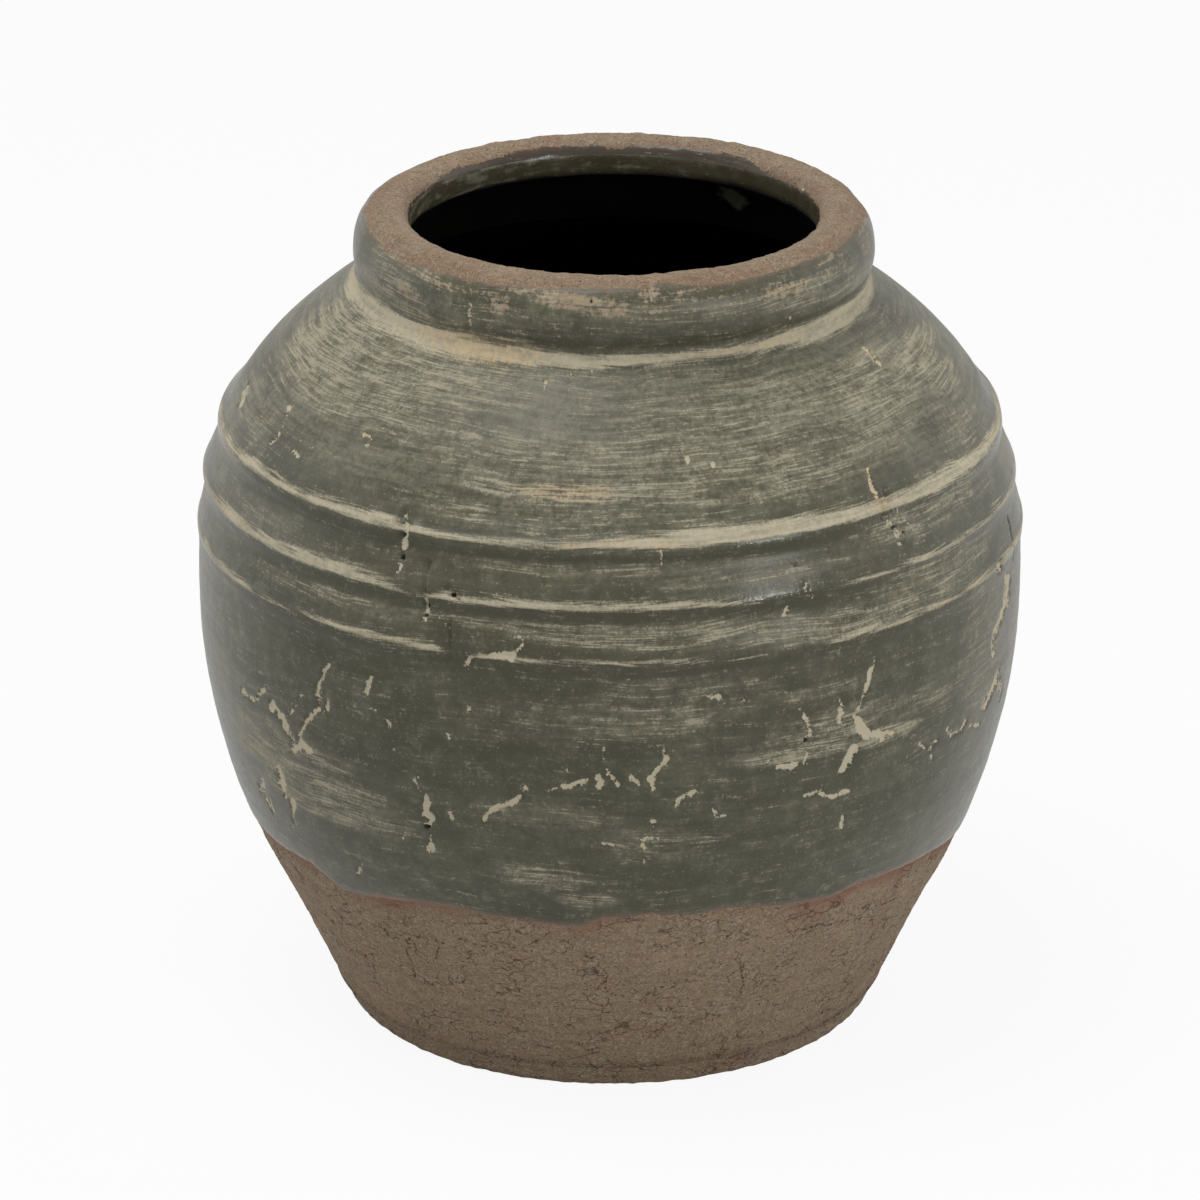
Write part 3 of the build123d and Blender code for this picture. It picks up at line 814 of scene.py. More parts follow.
            move += inside * (0.45 * MM * lattice_noise(base, (0.05, 0.05, 1.0), 11 + len(band)))
            for joint in joints:
                gap = np.angle(np.exp(1j * (self.turn - radians(joint)))) * self.rows[:, :1]
                gap = gap + 1.6 * MM * lattice_noise(base, 0.007, 21)
                nick = 1 - near(np.abs(gap), 0.5 * MM, 2.6 * MM)
                step = near(gap, -0.4 * MM, 0.4 * MM) * (1 - near(gap, 4 * MM, 22 * MM))
                move -= inside * (shape.joint * nick + 0.5 * MM * step)
        for x, y, size, rise in LUMPS:
            move += rise * MM * self.hump(*self.spot((x, y)), size)
        move = np.where(throat > 0.5, np.minimum(move, 0.1 * MM), move)
        points = base + move[..., None] * self.out
        neck_foot = height_of("neck_slip", 0)
        lean = near(self.rows[:, 1], neck_foot, neck_foot + 14 * MM)
        fade = 1 - near(station, self.cuts["throat"] + 14 * MM, self.cuts["end"])
        points[..., 0] += shape.lean * lean[:, None] * fade
        low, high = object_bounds()
        limit = min(high.x, high.y) - 0.05 * MM
        radius = np.maximum(np.hypot(points[..., 0], points[..., 1]), 1e-6)
        points[..., :2] *= np.minimum(1, limit / radius)[..., None]
        room_for_grit = 0.65 * shape.grain
        points[..., 2] = np.clip(points[..., 2], 0, high.z - room_for_grit)
        self.points = points
        across = np.roll(points, -1, axis=1) - np.roll(points, 1, axis=1)
        upward = np.gradient(points, axis=0)
        normals = np.cross(across, upward)
        self.smooth = normals / np.maximum(np.linalg.norm(normals, axis=-1, keepdims=True), 1e-12)


@lru_cache(maxsize=None)
def surface():
    """The jar's grid, made once."""
    return Surface()


FIELDS = ("chips", "line", "cracks", "pits", "cover", "brush", "warm", "shade", "haze", "course", "worn")
# What these fields hold on the hidden side of a piece; the others hold 0 there
QUIET = {"chips": FAR, "line": FAR, "cracks": FAR, "pits": FAR, "cover": 2 * FAR}


def lay_out(mesh, rows, columns, shown, poles):
    """Lay the piece's rows out flat for its baked maps: those that show in strips, the rest along the top."""
    strips = 4
    shown_height = 0.9
    hidden_start, hidden_height, hidden_step = 0.904, 0.02, 0.023
    side_margin, low_margin, strip_gap = 0.005, 0.004, 0.01
    pole_place = (0.5, 0.998)
    per_strip = -(-columns // strips)
    uvs = np.zeros((len(mesh.loops), 2))
    index = np.zeros(len(mesh.loops), int)
    mesh.loops.foreach_get("vertex_index", index)
    starts = np.zeros(len(mesh.polygons), int)
    totals = np.zeros(len(mesh.polygons), int)
    mesh.polygons.foreach_get("loop_start", starts)
    mesh.polygons.foreach_get("loop_total", totals)
    face = np.repeat(np.arange(len(starts)), totals)
    row, column = index // columns, index % columns
    least_row = np.full(len(starts), rows)
    np.minimum.at(least_row, face, np.minimum(row, rows - 1))
    least_column = np.full(len(starts), columns)
    np.minimum.at(least_column, face, column)
    wraps = (column == 0) & (np.bincount(face, weights=column)[face] > columns - 2)
    first_column = np.where(wraps, columns, column)
    home = np.full(len(starts), columns)
    np.minimum.at(home, face, first_column)
    strip = home[face] // per_strip
    shown_part = least_row[face] < shown - 1
    across = (first_column - strip * per_strip) / per_strip
    tall = shown_height / strips
    uvs[:, 0] = side_margin + (1 - 2 * side_margin) * across
    shown_up = row / max(shown - 1, 1)
    hidden_up = (np.minimum(row, rows) - shown + 1) / max(rows - shown + 1, 1)
    uvs[:, 1] = np.where(
        shown_part, low_margin + strip * tall + shown_up * (tall - strip_gap),
        hidden_start + hidden_up * hidden_height + strip * hidden_step)
    if poles:
        uvs[index >= rows * columns] = pole_place
    layer = mesh.uv_layers.new(name="OFBake")
    layer.data.foreach_set("uv", uvs.ravel())


def ring_quads(columns, pairs):
    """Faces round the jar between pairs of rows."""
    ring = np.arange(columns)
    after = np.roll(ring, -1)
    quads = []
    for low, high in pairs:
        under, over = low * columns, high * columns
        quads.append(np.stack([under + ring, under + after, over + after, over + ring], axis=1))
    return np.concatenate(quads)


def closed_mesh(name, shown_rows, back_rows, edge_normals, fields, poles=None):
    """A closed piece from rows of points round the jar, the shown ones first and the hidden ones after."""
    columns = shown_rows.shape[1]
    stacked = np.concatenate([shown_rows, back_rows])
    rows = len(stacked)
    points = stacked.reshape(-1, 3)
    closed_ends = poles is not None
    last = rows - 1 if closed_ends else rows
    quads = ring_quads(columns, [(row, (row + 1) % rows) for row in range(last)])
    loops, sizes = quads.ravel(), np.full(len(quads), 4)
    if closed_ends:
        ring = np.arange(columns)
        after = np.roll(ring, -1)
        bottom, top = len(points), len(points) + 1
        points = np.concatenate([points, poles])
        end = (rows - 1) * columns
        fans = np.concatenate([
            np.stack([0 * ring + bottom, after, ring], axis=1),
            np.stack([0 * ring + top, end + ring, end + after], axis=1)])
        loops, sizes = np.concatenate([loops, fans.ravel()]), np.concatenate([sizes, np.full(len(fans), 3)])
    mesh = bpy.data.meshes.new(name)
    mesh.vertices.add(len(points))
    mesh.vertices.foreach_set("co", points.ravel())
    mesh.loops.add(len(loops))
    mesh.loops.foreach_set("vertex_index", loops)
    mesh.polygons.add(len(sizes))
    mesh.polygons.foreach_set("loop_start", np.concatenate([[0], np.cumsum(sizes)[:-1]]))
    mesh.update(calc_edges=True)
    mesh.validate()
    mesh.polygons.foreach_set("use_smooth", np.ones(len(sizes), bool))
    for field, values in fields.items():
        filled = np.full(len(points), QUIET.get(field, 0.0))
        filled[:values.size] = values.ravel()
        mesh.attributes.new(field, "FLOAT", "POINT").data.foreach_set("value", filled.astype(np.float32))
    lay_out(mesh, rows, columns, len(shown_rows), closed_ends)
    normals = np.zeros((len(points), 3))
    for row, values in edge_normals.items():
        normals[row * columns:(row + 1) * columns] = values
    mesh.normals_split_custom_set_from_vertices(normals.tolist())
    piece = bpy.data.objects.new(name, mesh)
    bpy.context.scene.collection.objects.link(piece)
    return piece


def finish_piece(piece, slot, material, *nodes):
    """Give a piece its material and its body, and let it stand for its CAD nodes."""
    piece.data.materials.append(material)
    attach(piece, "root")
    if nodes:
        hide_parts(*nodes)


def ring_piece(name, zone, depth, slot, material, *nodes):
    """Build and finish one zone of the jar as a closed piece, with a wall of a depth behind its face."""
    grid = surface()
    back_skip = 6
    first, last = grid.first[zone], grid.first[grid.after(zone)]
    shown = grid.points[first:last + 1]
    picks = sorted(set(range(first, last + 1, back_skip)) | {last}, reverse=True)
    back = grid.base[picks] - depth * grid.out[picks]
    edges = {0: grid.smooth[first], len(shown) - 1: grid.smooth[last]}
    fields = {field: getattr(grid, field)[first:last + 1] for field in FIELDS}
    finish_piece(closed_mesh(name, shown, back, edges, fields), slot, material, *nodes)


class Nodes:
    """A short way to write a material's nodes."""

    def __init__(self, tree):
        self.tree = tree

    def add(self, kind, *links, **settings):
        """A node, with its settings and with its inputs set or linked in order."""
        node = self.tree.nodes.new(kind)
        for name, value in settings.items():
            setattr(node, name, value)
        for place, value in enumerate(links):
            self.feed(node.inputs[place], value)
        return node

    def feed(self, socket, value):
        """Link an output to a socket, or set the socket to a value."""
        if isinstance(value, bpy.types.NodeSocket):
            self.tree.links.new(value, socket)
        elif value is not None:
            socket.default_value = value

    def math(self, operation, *values):
        """Arithmetic on one, two or three values."""
        return self.add("ShaderNodeMath", *values, operation=operation).outputs[0]

    def total(self, *parts):
        """The sum of values, each times its weight; a weight alone, beside None, is added as it is."""
        result = None
        for value, weight in parts:
            if value is None:
                result = self.math("ADD", result, weight)
            elif result is None:
                result = value if weight == 1.0 else self.math("MULTIPLY", value, weight)
            else:
                result = self.math("MULTIPLY_ADD", value, weight, result)
        return result

    def roughen(self, shader, height, strength, distance):
        """Bump a shader by a height, over a distance in mm."""
        bump = self.add("ShaderNodeBump")
        bump.inputs["Strength"].default_value = strength
        bump.inputs["Distance"].default_value = distance * MM
        self.feed(bump.inputs["Height"], height)
        self.feed(shader.inputs["Normal"], bump.outputs[0])

    def field(self, name):
        """One of the fields that the mesh carries."""
        return self.add("ShaderNodeAttribute", attribute_name=name).outputs["Fac"]

    def noise(self, vector, size, detail=2.0, rough=0.5):
        """Noise from about -1 to 1, its bumps about a size in metres apart."""
        node = self.add("ShaderNodeTexNoise")
        self.feed(node.inputs["Vector"], vector)
        node.inputs["Scale"].default_value = 1 / size
        node.inputs["Detail"].default_value = detail
        node.inputs["Roughness"].default_value = rough
        return self.total((node.outputs["Fac"], 4.0), (None, -2.0))

    def rise(self, value, low, high, bottom=0.0, top=1.0):
        """A smooth rise between two values."""
        node = self.add("ShaderNodeMapRange", value, low, high, bottom, top, interpolation_type="SMOOTHSTEP")
        return node.outputs[0]

    def blend(self, share, first, second):
        """A blend of two colours."""
        node = self.add("ShaderNodeMix", data_type="RGBA")
        self.feed(node.inputs["Factor"], share)
        for name, value in (("A", first), ("B", second)):
            socket = next(s for s in node.inputs if s.name == name and s.type == "RGBA")
            self.feed(socket, (*value, 1) if isinstance(value, (tuple, list)) else value)
        return next(s for s in node.outputs if s.type == "RGBA")


def new_material(name):
    """A material with its shader and output, and the writer for its nodes."""
    material = bpy.data.materials.new(name)
    material.use_nodes = True
    tree = material.node_tree
    return material, Nodes(tree), tree.nodes["Principled BSDF"]


@lru_cache(maxsize=None)
def worn_glaze():
    """Worn grey-green glaze over bare clay, with brushed slip, chips, cracks and pinholes."""
    gloss_roughness, matt_roughness = 0.34, 0.9
    colours = bpy.context.scene.jar_colours
    c = {key: tuple(getattr(colours, key)) for key in JarColours.__annotations__}
    material, nodes, shader = new_material("worn_glaze")
    place = nodes.add("ShaderNodeTexCoord").outputs["Object"]
    math, rise, blend, total = nodes.math, nodes.rise, nodes.blend, nodes.total
    split = nodes.add("ShaderNodeSeparateXYZ", place)
    course = nodes.field("course")

    def even(size, detail=3):
        """Noise from about -1 to 1, the same in every direction."""
        return nodes.noise(place, size, detail)

    def dragged_out(length, width):
        """Noise drawn out round the jar, for what a turning wheel or a brush leaves."""
        sizes = ((split.outputs["X"], length), (split.outputs["Y"], length), (course, width))
        parts = [math("DIVIDE", value, size) for value, size in sizes]
        return nodes.noise(nodes.add("ShaderNodeCombineXYZ", *parts).outputs[0], 1.0, 2)

    def toned(colour, *tones):
        """A colour turned towards others, each where its sum of noises rises from a low to a high value."""
        for tone, low, high, strength, *noises in tones:
            colour = blend(rise(total(*noises), low, high, 0, strength), colour, c[tone])
        return colour

    fine, grain, small = even(0.0007, 1), even(0.0012, 2), even(0.0026)
    middling, patchy, broad = even(0.008), even(0.02), even(0.045)
    # The streaks wander up and down a little as they run round the jar
    drift, quiver = nodes.noise(place, 0.08, 1), nodes.noise(place, 0.018, 1)
    course = total((course, 1.0), (drift, 3.5 * MM), (quiver, 0.35 * MM))
    thread, streak, sweep = dragged_out(0.015, 0.0008), dragged_out(0.03, 0.0024), dragged_out(0.07, 0.009)

    # Glaze, darker where it is thick and paler where it is rubbed; on the shoulder the paleness is also
    # painted top light and sheen
    thick = total((broad, 0.6), (sweep, 0.4), (middling, 0.3))
    glaze = blend(rise(thick, -0.8, 0.8), c["glaze_dark"], c["glaze"])
    rubbed = total((thread, 0.35), (small, 0.25), (grain, 0.4), (streak, 0.4), (sweep, 0.3), (broad, 0.3))
    rubbed = rise(rubbed, -0.6, 0.9, 0.05, 0.9)
    glaze = blend(math("MULTIPLY", nodes.field("haze"), rubbed), glaze, c["glaze_haze"])
    glaze = toned(
        glaze,
        ("glaze_dark", -0.3, 0.8, 0.55, (thread, 0.5), (grain, 0.7)),
        ("glaze_haze", 0.3, 0.9, 0.6, (grain, 0.8), (thread, 0.3)))
    # Painted shade: the glaze darkens just under each band
    glaze = blend(math("MULTIPLY", nodes.field("shade"), 0.7), glaze, c["glaze_dark"])
    cloud = total((middling, 0.45), (small, 0.5), (streak, 0.35), (thread, 0.25), (grain, 0.3))
    glaze = toned(
        glaze,
        ("glaze_haze", 0.0, 0.9, 0.42, (cloud, 1.0)),
        ("glaze_dark", 0.1, -0.9, 0.7, (cloud, 1.0)),
        ("glaze_dark", -0.5, 0.9, 0.4, (fine, 1.0)),
        ("clay_dark", 0.9, 1.4, 0.7, (nodes.field("shade"), 1.0)))

    # Where the slip fired orange
    ragged = rise(total((small, 0.6), (streak, 0.5)), -0.9, 0.4, 0.3, 1.0)
    warm = math("MULTIPLY", nodes.field("warm"), ragged)

    # Slip that a dry brush dragged over the glaze, over a thin film of it
    brush = nodes.field("brush")
    dragged = total(
        (brush, 1.0), (thread, 0.55), (streak, 0.3), (grain, 0.28), (small, 0.14), (middling, 0.14))
    dragged = rise(dragged, 0.34, 1.2)
    film = rise(total((small, 0.5), (streak, 0.5), (middling, 0.3)), -0.8, 0.8, 0.05, 0.5)
    film = math("MULTIPLY", brush, film)
    smeared = math("MAXIMUM", math("MULTIPLY", dragged, 0.85), film)
    glaze = blend(smeared, glaze, blend(warm, c["brushed"], c["slip_warm"]))

    # Slip that fills the chips and lies on the bands
    chips = nodes.field("chips")
    ragged_chips = rise(total((chips, 1.0), (middling, 0.4), (small, 0.7), (grain, 0.6)), 0.0, 0.5)
    flecks = rise(total((chips, 0.17), (small, 0.5), (grain, 0.5)), 0.4, 0.62, 0, 0.8)
    chips = math("MAXIMUM", ragged_chips, flecks)
    line = total((nodes.field("line"), 1.0), (thread, 0.9), (streak, 0.7), (sweep, 0.5), (grain, 0.4))
    uneven = rise(total((streak, 0.6), (small, 0.4)), -0.9, 0.5, 0.6, 0.95)
    line = math("MULTIPLY", rise(line, -0.5, 1.6), uneven)
    slip = blend(math("MAXIMUM", rise(broad, 0.3, 0.8, 0, 0.6), warm), c["slip"], c["slip_warm"])
    slip = blend(rise(total((small, 0.6), (grain, 0.6)), -0.6, 0.8, 0.5, 0.0), slip, c["brushed"])
    slipped = math("MAXIMUM", chips, line)
    glaze = blend(slipped, glaze, slip)

    # Bare clay, bloomed and gritty, with drying cracks that net the foot in places
    bloom = rise(total((middling, 0.4), (small, 0.4), (streak, 0.2), (grain, 0.3)), -0.9, 0.9)
    clay = toned(
        blend(bloom, c["clay"], c["clay_pale"]),
        ("fringe", 0.0, 0.9, 0.6, (broad, 0.5), (patchy, 0.6), (middling, 0.3)),
        ("clay_pale", 0.1, 0.9, 0.5, (patchy, -0.7), (middling, 0.4)),
        ("brushed", 0.0, 0.8, 0.5, (patchy, 0.5), (small, 0.4), (middling, -0.5)),
        ("fringe", 0.4, 1.0, 0.5, (middling, 0.7), (small, 0.5)),
        ("clay_dark", 0.0, 1.0, 0.75, (grain, 0.8), (small, 0.5)),
        ("clay_dark", 0.75, 1.1, 0.7, (small, 1.0), (grain, 0.5)),
        ("clay_dark", -0.3, 0.9, 0.4, (fine, 1.0)),
        ("clay_pale", 0.1, 0.8, 0.8, (grain, -0.9), (small, 0.3)))
    net = nodes.add("ShaderNodeTexVoronoi", feature="DISTANCE_TO_EDGE")
    swirl = nodes.add("ShaderNodeTexNoise", place, None, 110.0).outputs["Color"]
    squat = nodes.add("ShaderNodeVectorMath", place, (1.0, 1.0, 1.8), operation="MULTIPLY").outputs[0]
    nodes.feed(net.inputs["Vector"], nodes.add("ShaderNodeMixRGB", 0.014, squat, swirl).outputs[0])
    net.inputs["Scale"].default_value = 100.0
    low = rise(split.outputs["Z"], 0.2, 0.15)
    netted = math("MULTIPLY", rise(total((patchy, 0.8), (middling, 0.6)), -0.3, 0.5), low)
    fine_net = math("MULTIPLY", rise(total((net.outputs["Distance"], 1.0), (small, 0.03)), 0.04, 0.0), netted)
    drawn = rise(total((nodes.field("cracks"), 1.0), (small, 0.35), (grain, 0.3)), 0.05, 0.4)
    crack = math("MAXIMUM", fine_net, drawn)
    clay = blend(math("MULTIPLY", crack, 0.8), clay, c["clay_dark"])

    # The glaze's edge, with a red fringe on either side of it
    cover = total((nodes.field("cover"), 1.0), (middling, 1.1), (small, 0.9), (streak, 0.8), (grain, 0.5))
    covered = rise(cover, -0.5, 0.5)
    by_height = rise(split.outputs["Z"], 0.3, 0.2, 0.25, 1.0)
    reddish = math("MULTIPLY", rise(broad, -0.5, 0.7, 0.2, 0.9), by_height)
    glaze = blend(math("MULTIPLY", rise(cover, 4.0, 0.2), reddish), glaze, c["fringe"])
    worn = total((nodes.field("worn"), 1.0), (streak, 0.35), (small, 0.35), (grain, 0.3), (thread, 0.2))
    worn = rise(worn, 0.45, 0.95, 0, 0.9)
    tan = blend(rise(total((small, 0.5), (patchy, 0.5)), -0.4, 0.8, 0, 0.7), c["clay_pale"], c["slip"])
    glaze = blend(worn, glaze, blend(rise(grain, -0.6, 0.9, 0, 0.5), tan, clay))
    clay = blend(math("MULTIPLY", rise(cover, -11.0, 0.5), reddish), clay, c["fringe"])
    colour = blend(covered, clay, glaze)
    # Pinholes turn black: painted shade in the holes
    pit = rise(total((nodes.field("pits"), 1.0), (grain, 0.2)), -0.2, 0.15)
    colour = blend(math("MULTIPLY", pit, 0.95), colour, c["deep"])
    nodes.feed(shader.inputs["Base Color"], colour)

    # Gloss only where bare glaze shows
    matt = math("MAXIMUM", math("MAXIMUM", slipped, smeared), worn)
    glossy = math("MULTIPLY", covered, math("SUBTRACT", 1.0, matt))
    rough = rise(glossy, 0, 1, matt_roughness, gloss_roughness)
    rough = total((rough, 1.0), (small, 0.06), (nodes.field("haze"), 0.13))
    nodes.feed(shader.inputs["Roughness"], rough)
    shader.inputs["IOR"].default_value = 1.42
    shader.inputs["Specular IOR Level"].default_value = 0.38

    grit = math("MULTIPLY", total((small, 0.3), (grain, 0.3)), rise(covered, 0, 1, 1.0, 0.14))
    cracked = math("MULTIPLY", crack, math("SUBTRACT", 1.0, covered))
    relief = total((grit, 1.0), (cracked, -1.6), (matt, 0.25), (chips, -0.6))
    nodes.roughen(shader, relief, 0.8, 0.6)
    return material


@lru_cache(maxsize=None)
def dark_glaze():
    """Dark olive gloss glaze in the throat, mottled and smeared paler, more so on the left, turning black
    below the land as painted shade.
    """
    colours = bpy.context.scene.jar_colours
    material, nodes, shader = new_material("dark_glaze")
    place = nodes.add("ShaderNodeTexCoord").outputs["Object"]
    split = nodes.add("ShaderNodeSeparateXYZ", place)
    mottle, speck = nodes.noise(place, 0.007, 4, 0.65), nodes.noise(place, 0.0016, 2)
    side = nodes.rise(split.outputs["X"], -90 * MM, 90 * MM, 0.4, -0.25)
    lines = nodes.add("ShaderNodeVectorMath", place, (1.0, 1.0, 4.0), operation="MULTIPLY").outputs[0]
    smear = nodes.total((nodes.noise(lines, 0.016, 4), 0.7), (mottle, 0.3), (side, 1.0))
    colour = nodes.blend(nodes.rise(mottle, 0.1, 0.9, 0, 0.5), tuple(colours.throat), tuple(colours.glaze))
    colour = nodes.blend(nodes.rise(smear, 0.15, 0.8, 0, 0.8), colour, tuple(colours.glaze_haze))
    colour = nodes.blend(nodes.rise(speck, 0.65, 1.0, 0, 0.4), colour, tuple(colours.brushed))
    # Below the throat's land the colour turns black: painted shade of the jar's unlit inside
    height = split.outputs["Z"]
    land = height_of("rim_roll", 1) - bpy.context.scene.jar_shape.land
    below = nodes.total((height, -1.0), (None, land), (nodes.noise(place, 0.02, 2), 0.9 * MM))
    inner = nodes.rise(below, -0.4 * MM, 0.9 * MM)
    colour = nodes.blend(inner, colour, tuple(colours.deep))
    nodes.feed(shader.inputs["Base Color"], colour)
    gloss = nodes.rise(nodes.noise(place, 0.012, 2), -0.8, 0.8, 0.14, 0.34)
    nodes.feed(shader.inputs["Roughness"], nodes.total((inner, 0.55), (gloss, 1.0)))
    nodes.roughen(shader, nodes.noise(place, 0.004, 3), 0.4, 0.15)
    return material


@lru_cache(maxsize=None)
def deep_glaze():
    """Black painted shade below the throat and inside the jar, with hardly any shine."""
    material, nodes, shader = new_material("deep_glaze")
    place = nodes.add("ShaderNodeTexCoord").outputs["Object"]
    colours = bpy.context.scene.jar_colours
    pale = tuple(2 * value for value in colours.deep)
    colour = nodes.blend(nodes.rise(nodes.noise(place, 0.02), -0.6, 0.6), tuple(colours.deep), pale)
    grid = surface()
    turn, station = grid.spot(SMUDGE, "throat")
    middle = grid.base[np.abs(grid.station - station).argmin(), np.abs(grid.turn - turn).argmin()]
    gap = nodes.add("ShaderNodeVectorMath", place, tuple(middle), operation="DISTANCE").outputs["Value"]
    ragged = nodes.total((gap, 1.0), (nodes.noise(place, 0.006, 3), 3 * MM))
    colour = nodes.blend(nodes.rise(ragged, 9 * MM, 5 * MM, 0, 0.8), colour, tuple(colours.glaze))
    nodes.feed(shader.inputs["Base Color"], colour)
    shader.inputs["Roughness"].default_value = 0.8
    shader.inputs["Specular IOR Level"].default_value = 0.05
    return material


@lru_cache(maxsize=None)
def grit_clay():
    """The finish of the loose grains in the bare clay."""
    colours = bpy.context.scene.jar_colours
    material, nodes, shader = new_material("grit_clay")
    place = nodes.add("ShaderNodeTexCoord").outputs["Object"]
    pick = nodes.rise(nodes.noise(place, 0.003, 1), -0.4, 0.5)
    colour = nodes.blend(pick, tuple(colours.clay), tuple(colours.clay_pale))
    dark = nodes.rise(nodes.noise(place, 0.006, 1), 0.2, 0.6, 0, 0.6)
    colour = nodes.blend(dark, colour, tuple(colours.clay_dark))
    nodes.feed(shader.inputs["Base Color"], colour)
    nodes.feed(shader.inputs["Roughness"], nodes.rise(nodes.noise(place, 0.001, 1), -0.8, 0.8, 0.8, 0.95))
    return material


def grit_tree():
    """Geometry nodes that scatter grains over the faces where no glaze covers the clay."""
    tree = bpy.data.node_groups.new("clay_grit", "GeometryNodeTree")
    tree.interface.new_socket("Clay", in_out="INPUT", socket_type="NodeSocketGeometry")
    for name, kind in (("Grains per square metre", "NodeSocketFloat"), ("Grain radius", "NodeSocketFloat"),
                       ("Seed", "NodeSocketInt"), ("Finish", "NodeSocketMaterial")):
        tree.interface.new_socket(name, in_out="INPUT", socket_type=kind)
    tree.interface.new_socket("Grit", in_out="OUTPUT", socket_type="NodeSocketGeometry")
    nodes = Nodes(tree)
    given, made = nodes.add("NodeGroupInput"), nodes.add("NodeGroupOutput")
    clay, density, radius, seed, finish = given.outputs[:5]

    bare_below = -2.0
    cover = nodes.add("GeometryNodeInputNamedAttribute", "cover", data_type="FLOAT").outputs["Attribute"]
    bare = nodes.add("FunctionNodeCompare", cover, bare_below, data_type="FLOAT", operation="LESS_THAN")
    scatter = nodes.add("GeometryNodeDistributePointsOnFaces", clay, bare.outputs["Result"])
    nodes.feed(scatter.inputs["Density"], density)
    nodes.feed(scatter.inputs["Seed"], seed)

    grain = nodes.add("GeometryNodeMeshIcoSphere", radius, 1)
    least, most = (0.4, 0.4, 0.2), (1.5, 1.0, 0.55)
    size = nodes.add("FunctionNodeRandomValue", least, most, data_type="FLOAT_VECTOR")
    nodes.feed(size.inputs["Seed"], seed)
    place = nodes.add("GeometryNodeInstanceOnPoints", scatter.outputs["Points"])
    nodes.feed(place.inputs["Instance"], grain.outputs["Mesh"])
    nodes.feed(place.inputs["Rotation"], scatter.outputs["Rotation"])
    nodes.feed(place.inputs["Scale"], size.outputs["Value"])

    real = nodes.add("GeometryNodeRealizeInstances", place.outputs["Instances"])
    finished = nodes.add("GeometryNodeSetMaterial", real.outputs["Geometry"])
    nodes.feed(finished.inputs["Material"], finish)
    nodes.feed(made.inputs["Grit"], finished.outputs["Geometry"])
    return tree


def scatter_grit(name, zone, first_row, density, seed):
    """Loose grains over the bare clay of one zone, as a plain mesh."""
    grid = surface()
    first, last = grid.first[zone] + first_row, grid.first[grid.after(zone)]
    quads = ring_quads(grid.points.shape[1], [(row, row + 1) for row in range(last - first)])
    mesh = bpy.data.meshes.new(name + "_bed")
    mesh.from_pydata(grid.points[first:last + 1].reshape(-1, 3), [], quads)
    cover = grid.cover[first:last + 1].ravel().astype(np.float32)
    mesh.attributes.new("cover", "FLOAT", "POINT").data.foreach_set("value", cover)
    bed = bpy.data.objects.new(name + "_bed", mesh)
    bpy.context.scene.collection.objects.link(bed)
    modifier = bed.modifiers.new("grit", "NODES")
    modifier.node_group = grit_tree()
    settings = {"Grains per square metre": density, "Grain radius": grid.shape.grain, "Seed": seed,
                "Finish": grit_clay()}
    for item in modifier.node_group.interface.items_tree:
        if item.item_type == "SOCKET" and item.in_out == "INPUT" and item.name in settings:
            modifier[item.identifier] = settings[item.name]
    evaluated = bed.evaluated_get(bpy.context.evaluated_depsgraph_get())
    grains = bpy.data.meshes.new_from_object(evaluated)
    bpy.data.objects.remove(bed)
    grains.name = name
    piece = bpy.data.objects.new(name, grains)
    bpy.context.scene.collection.objects.link(piece)
    return piece


class BuildOperator:
    """What all the operators share."""

    bl_options = {"REGISTER"}

    def execute(self, context):
        """Build the piece."""
        self.build(context)
        return {"FINISHED"}


class JAR_OT_foot(BuildOperator, bpy.types.Operator):
    """Build the bare foot with its underside and floor"""

    bl_idname = "jar.foot"
    bl_label = "Foot"

    def build(self, context):
        grid = surface()
        wall = grid.shape.wall
        first, last = grid.first["foot"], grid.first["lower_belly"]
        edge = grid.points[first]
        # The underside's rows, as shares of its radius
        shares = np.linspace(0.06, 0.97, 7)
        under = np.stack([edge * share for share in shares])
        rough = 0.25 * MM * (1 + lattice_noise(under, 0.005, 41))
        under[..., 2] = rough * near(1 - shares, 0.0, 0.08)[:, None]
        shown = np.concatenate([under, grid.points[first:last + 1]])
        floor_height = height_of("base_disc", 1)
        back_skip = 12
        picks = [row for row in range(last, first, -back_skip) if grid.rows[row, 1] > floor_height + wall / 2]
        back = grid.base[picks] - wall * grid.out[picks]
        floor = back[-1].copy()
        floor[:, 2] = floor_height - 0.1 * MM
        # The floor's rows, as shares of its radius
        inner = np.stack([floor * (share, share, 1) for share in (0.99, 0.5, 0.06)])
        fields = {}
        for field in FIELDS:
            values = getattr(grid, field)[first:last + 1]
            fields[field] = np.concatenate([np.repeat(values[:1], len(under), axis=0), values])
        poles = np.array([(0, 0, 0.3 * MM), (0, 0, floor[0, 2])])
        edges = {len(shown) - 1: grid.smooth[last]}
        piece = closed_mesh("foot", shown, np.concatenate([back, inner]), edges, fields, poles)
        finish_piece(piece, "bare_clay", worn_glaze(), "foot_wall", "base_disc")


class JAR_OT_belly(BuildOperator, bpy.types.Operator):
    """Build the two glazed sections of the belly"""

    bl_idname = "jar.belly"
    bl_label = "Belly"

    def build(self, context):
        wall = surface().shape.wall
        for zone in ("lower_belly", "upper_belly"):
            ring_piece(zone, zone, wall, "grey_green_glaze", worn_glaze(), f"{zone}_wall", "belly_glaze")


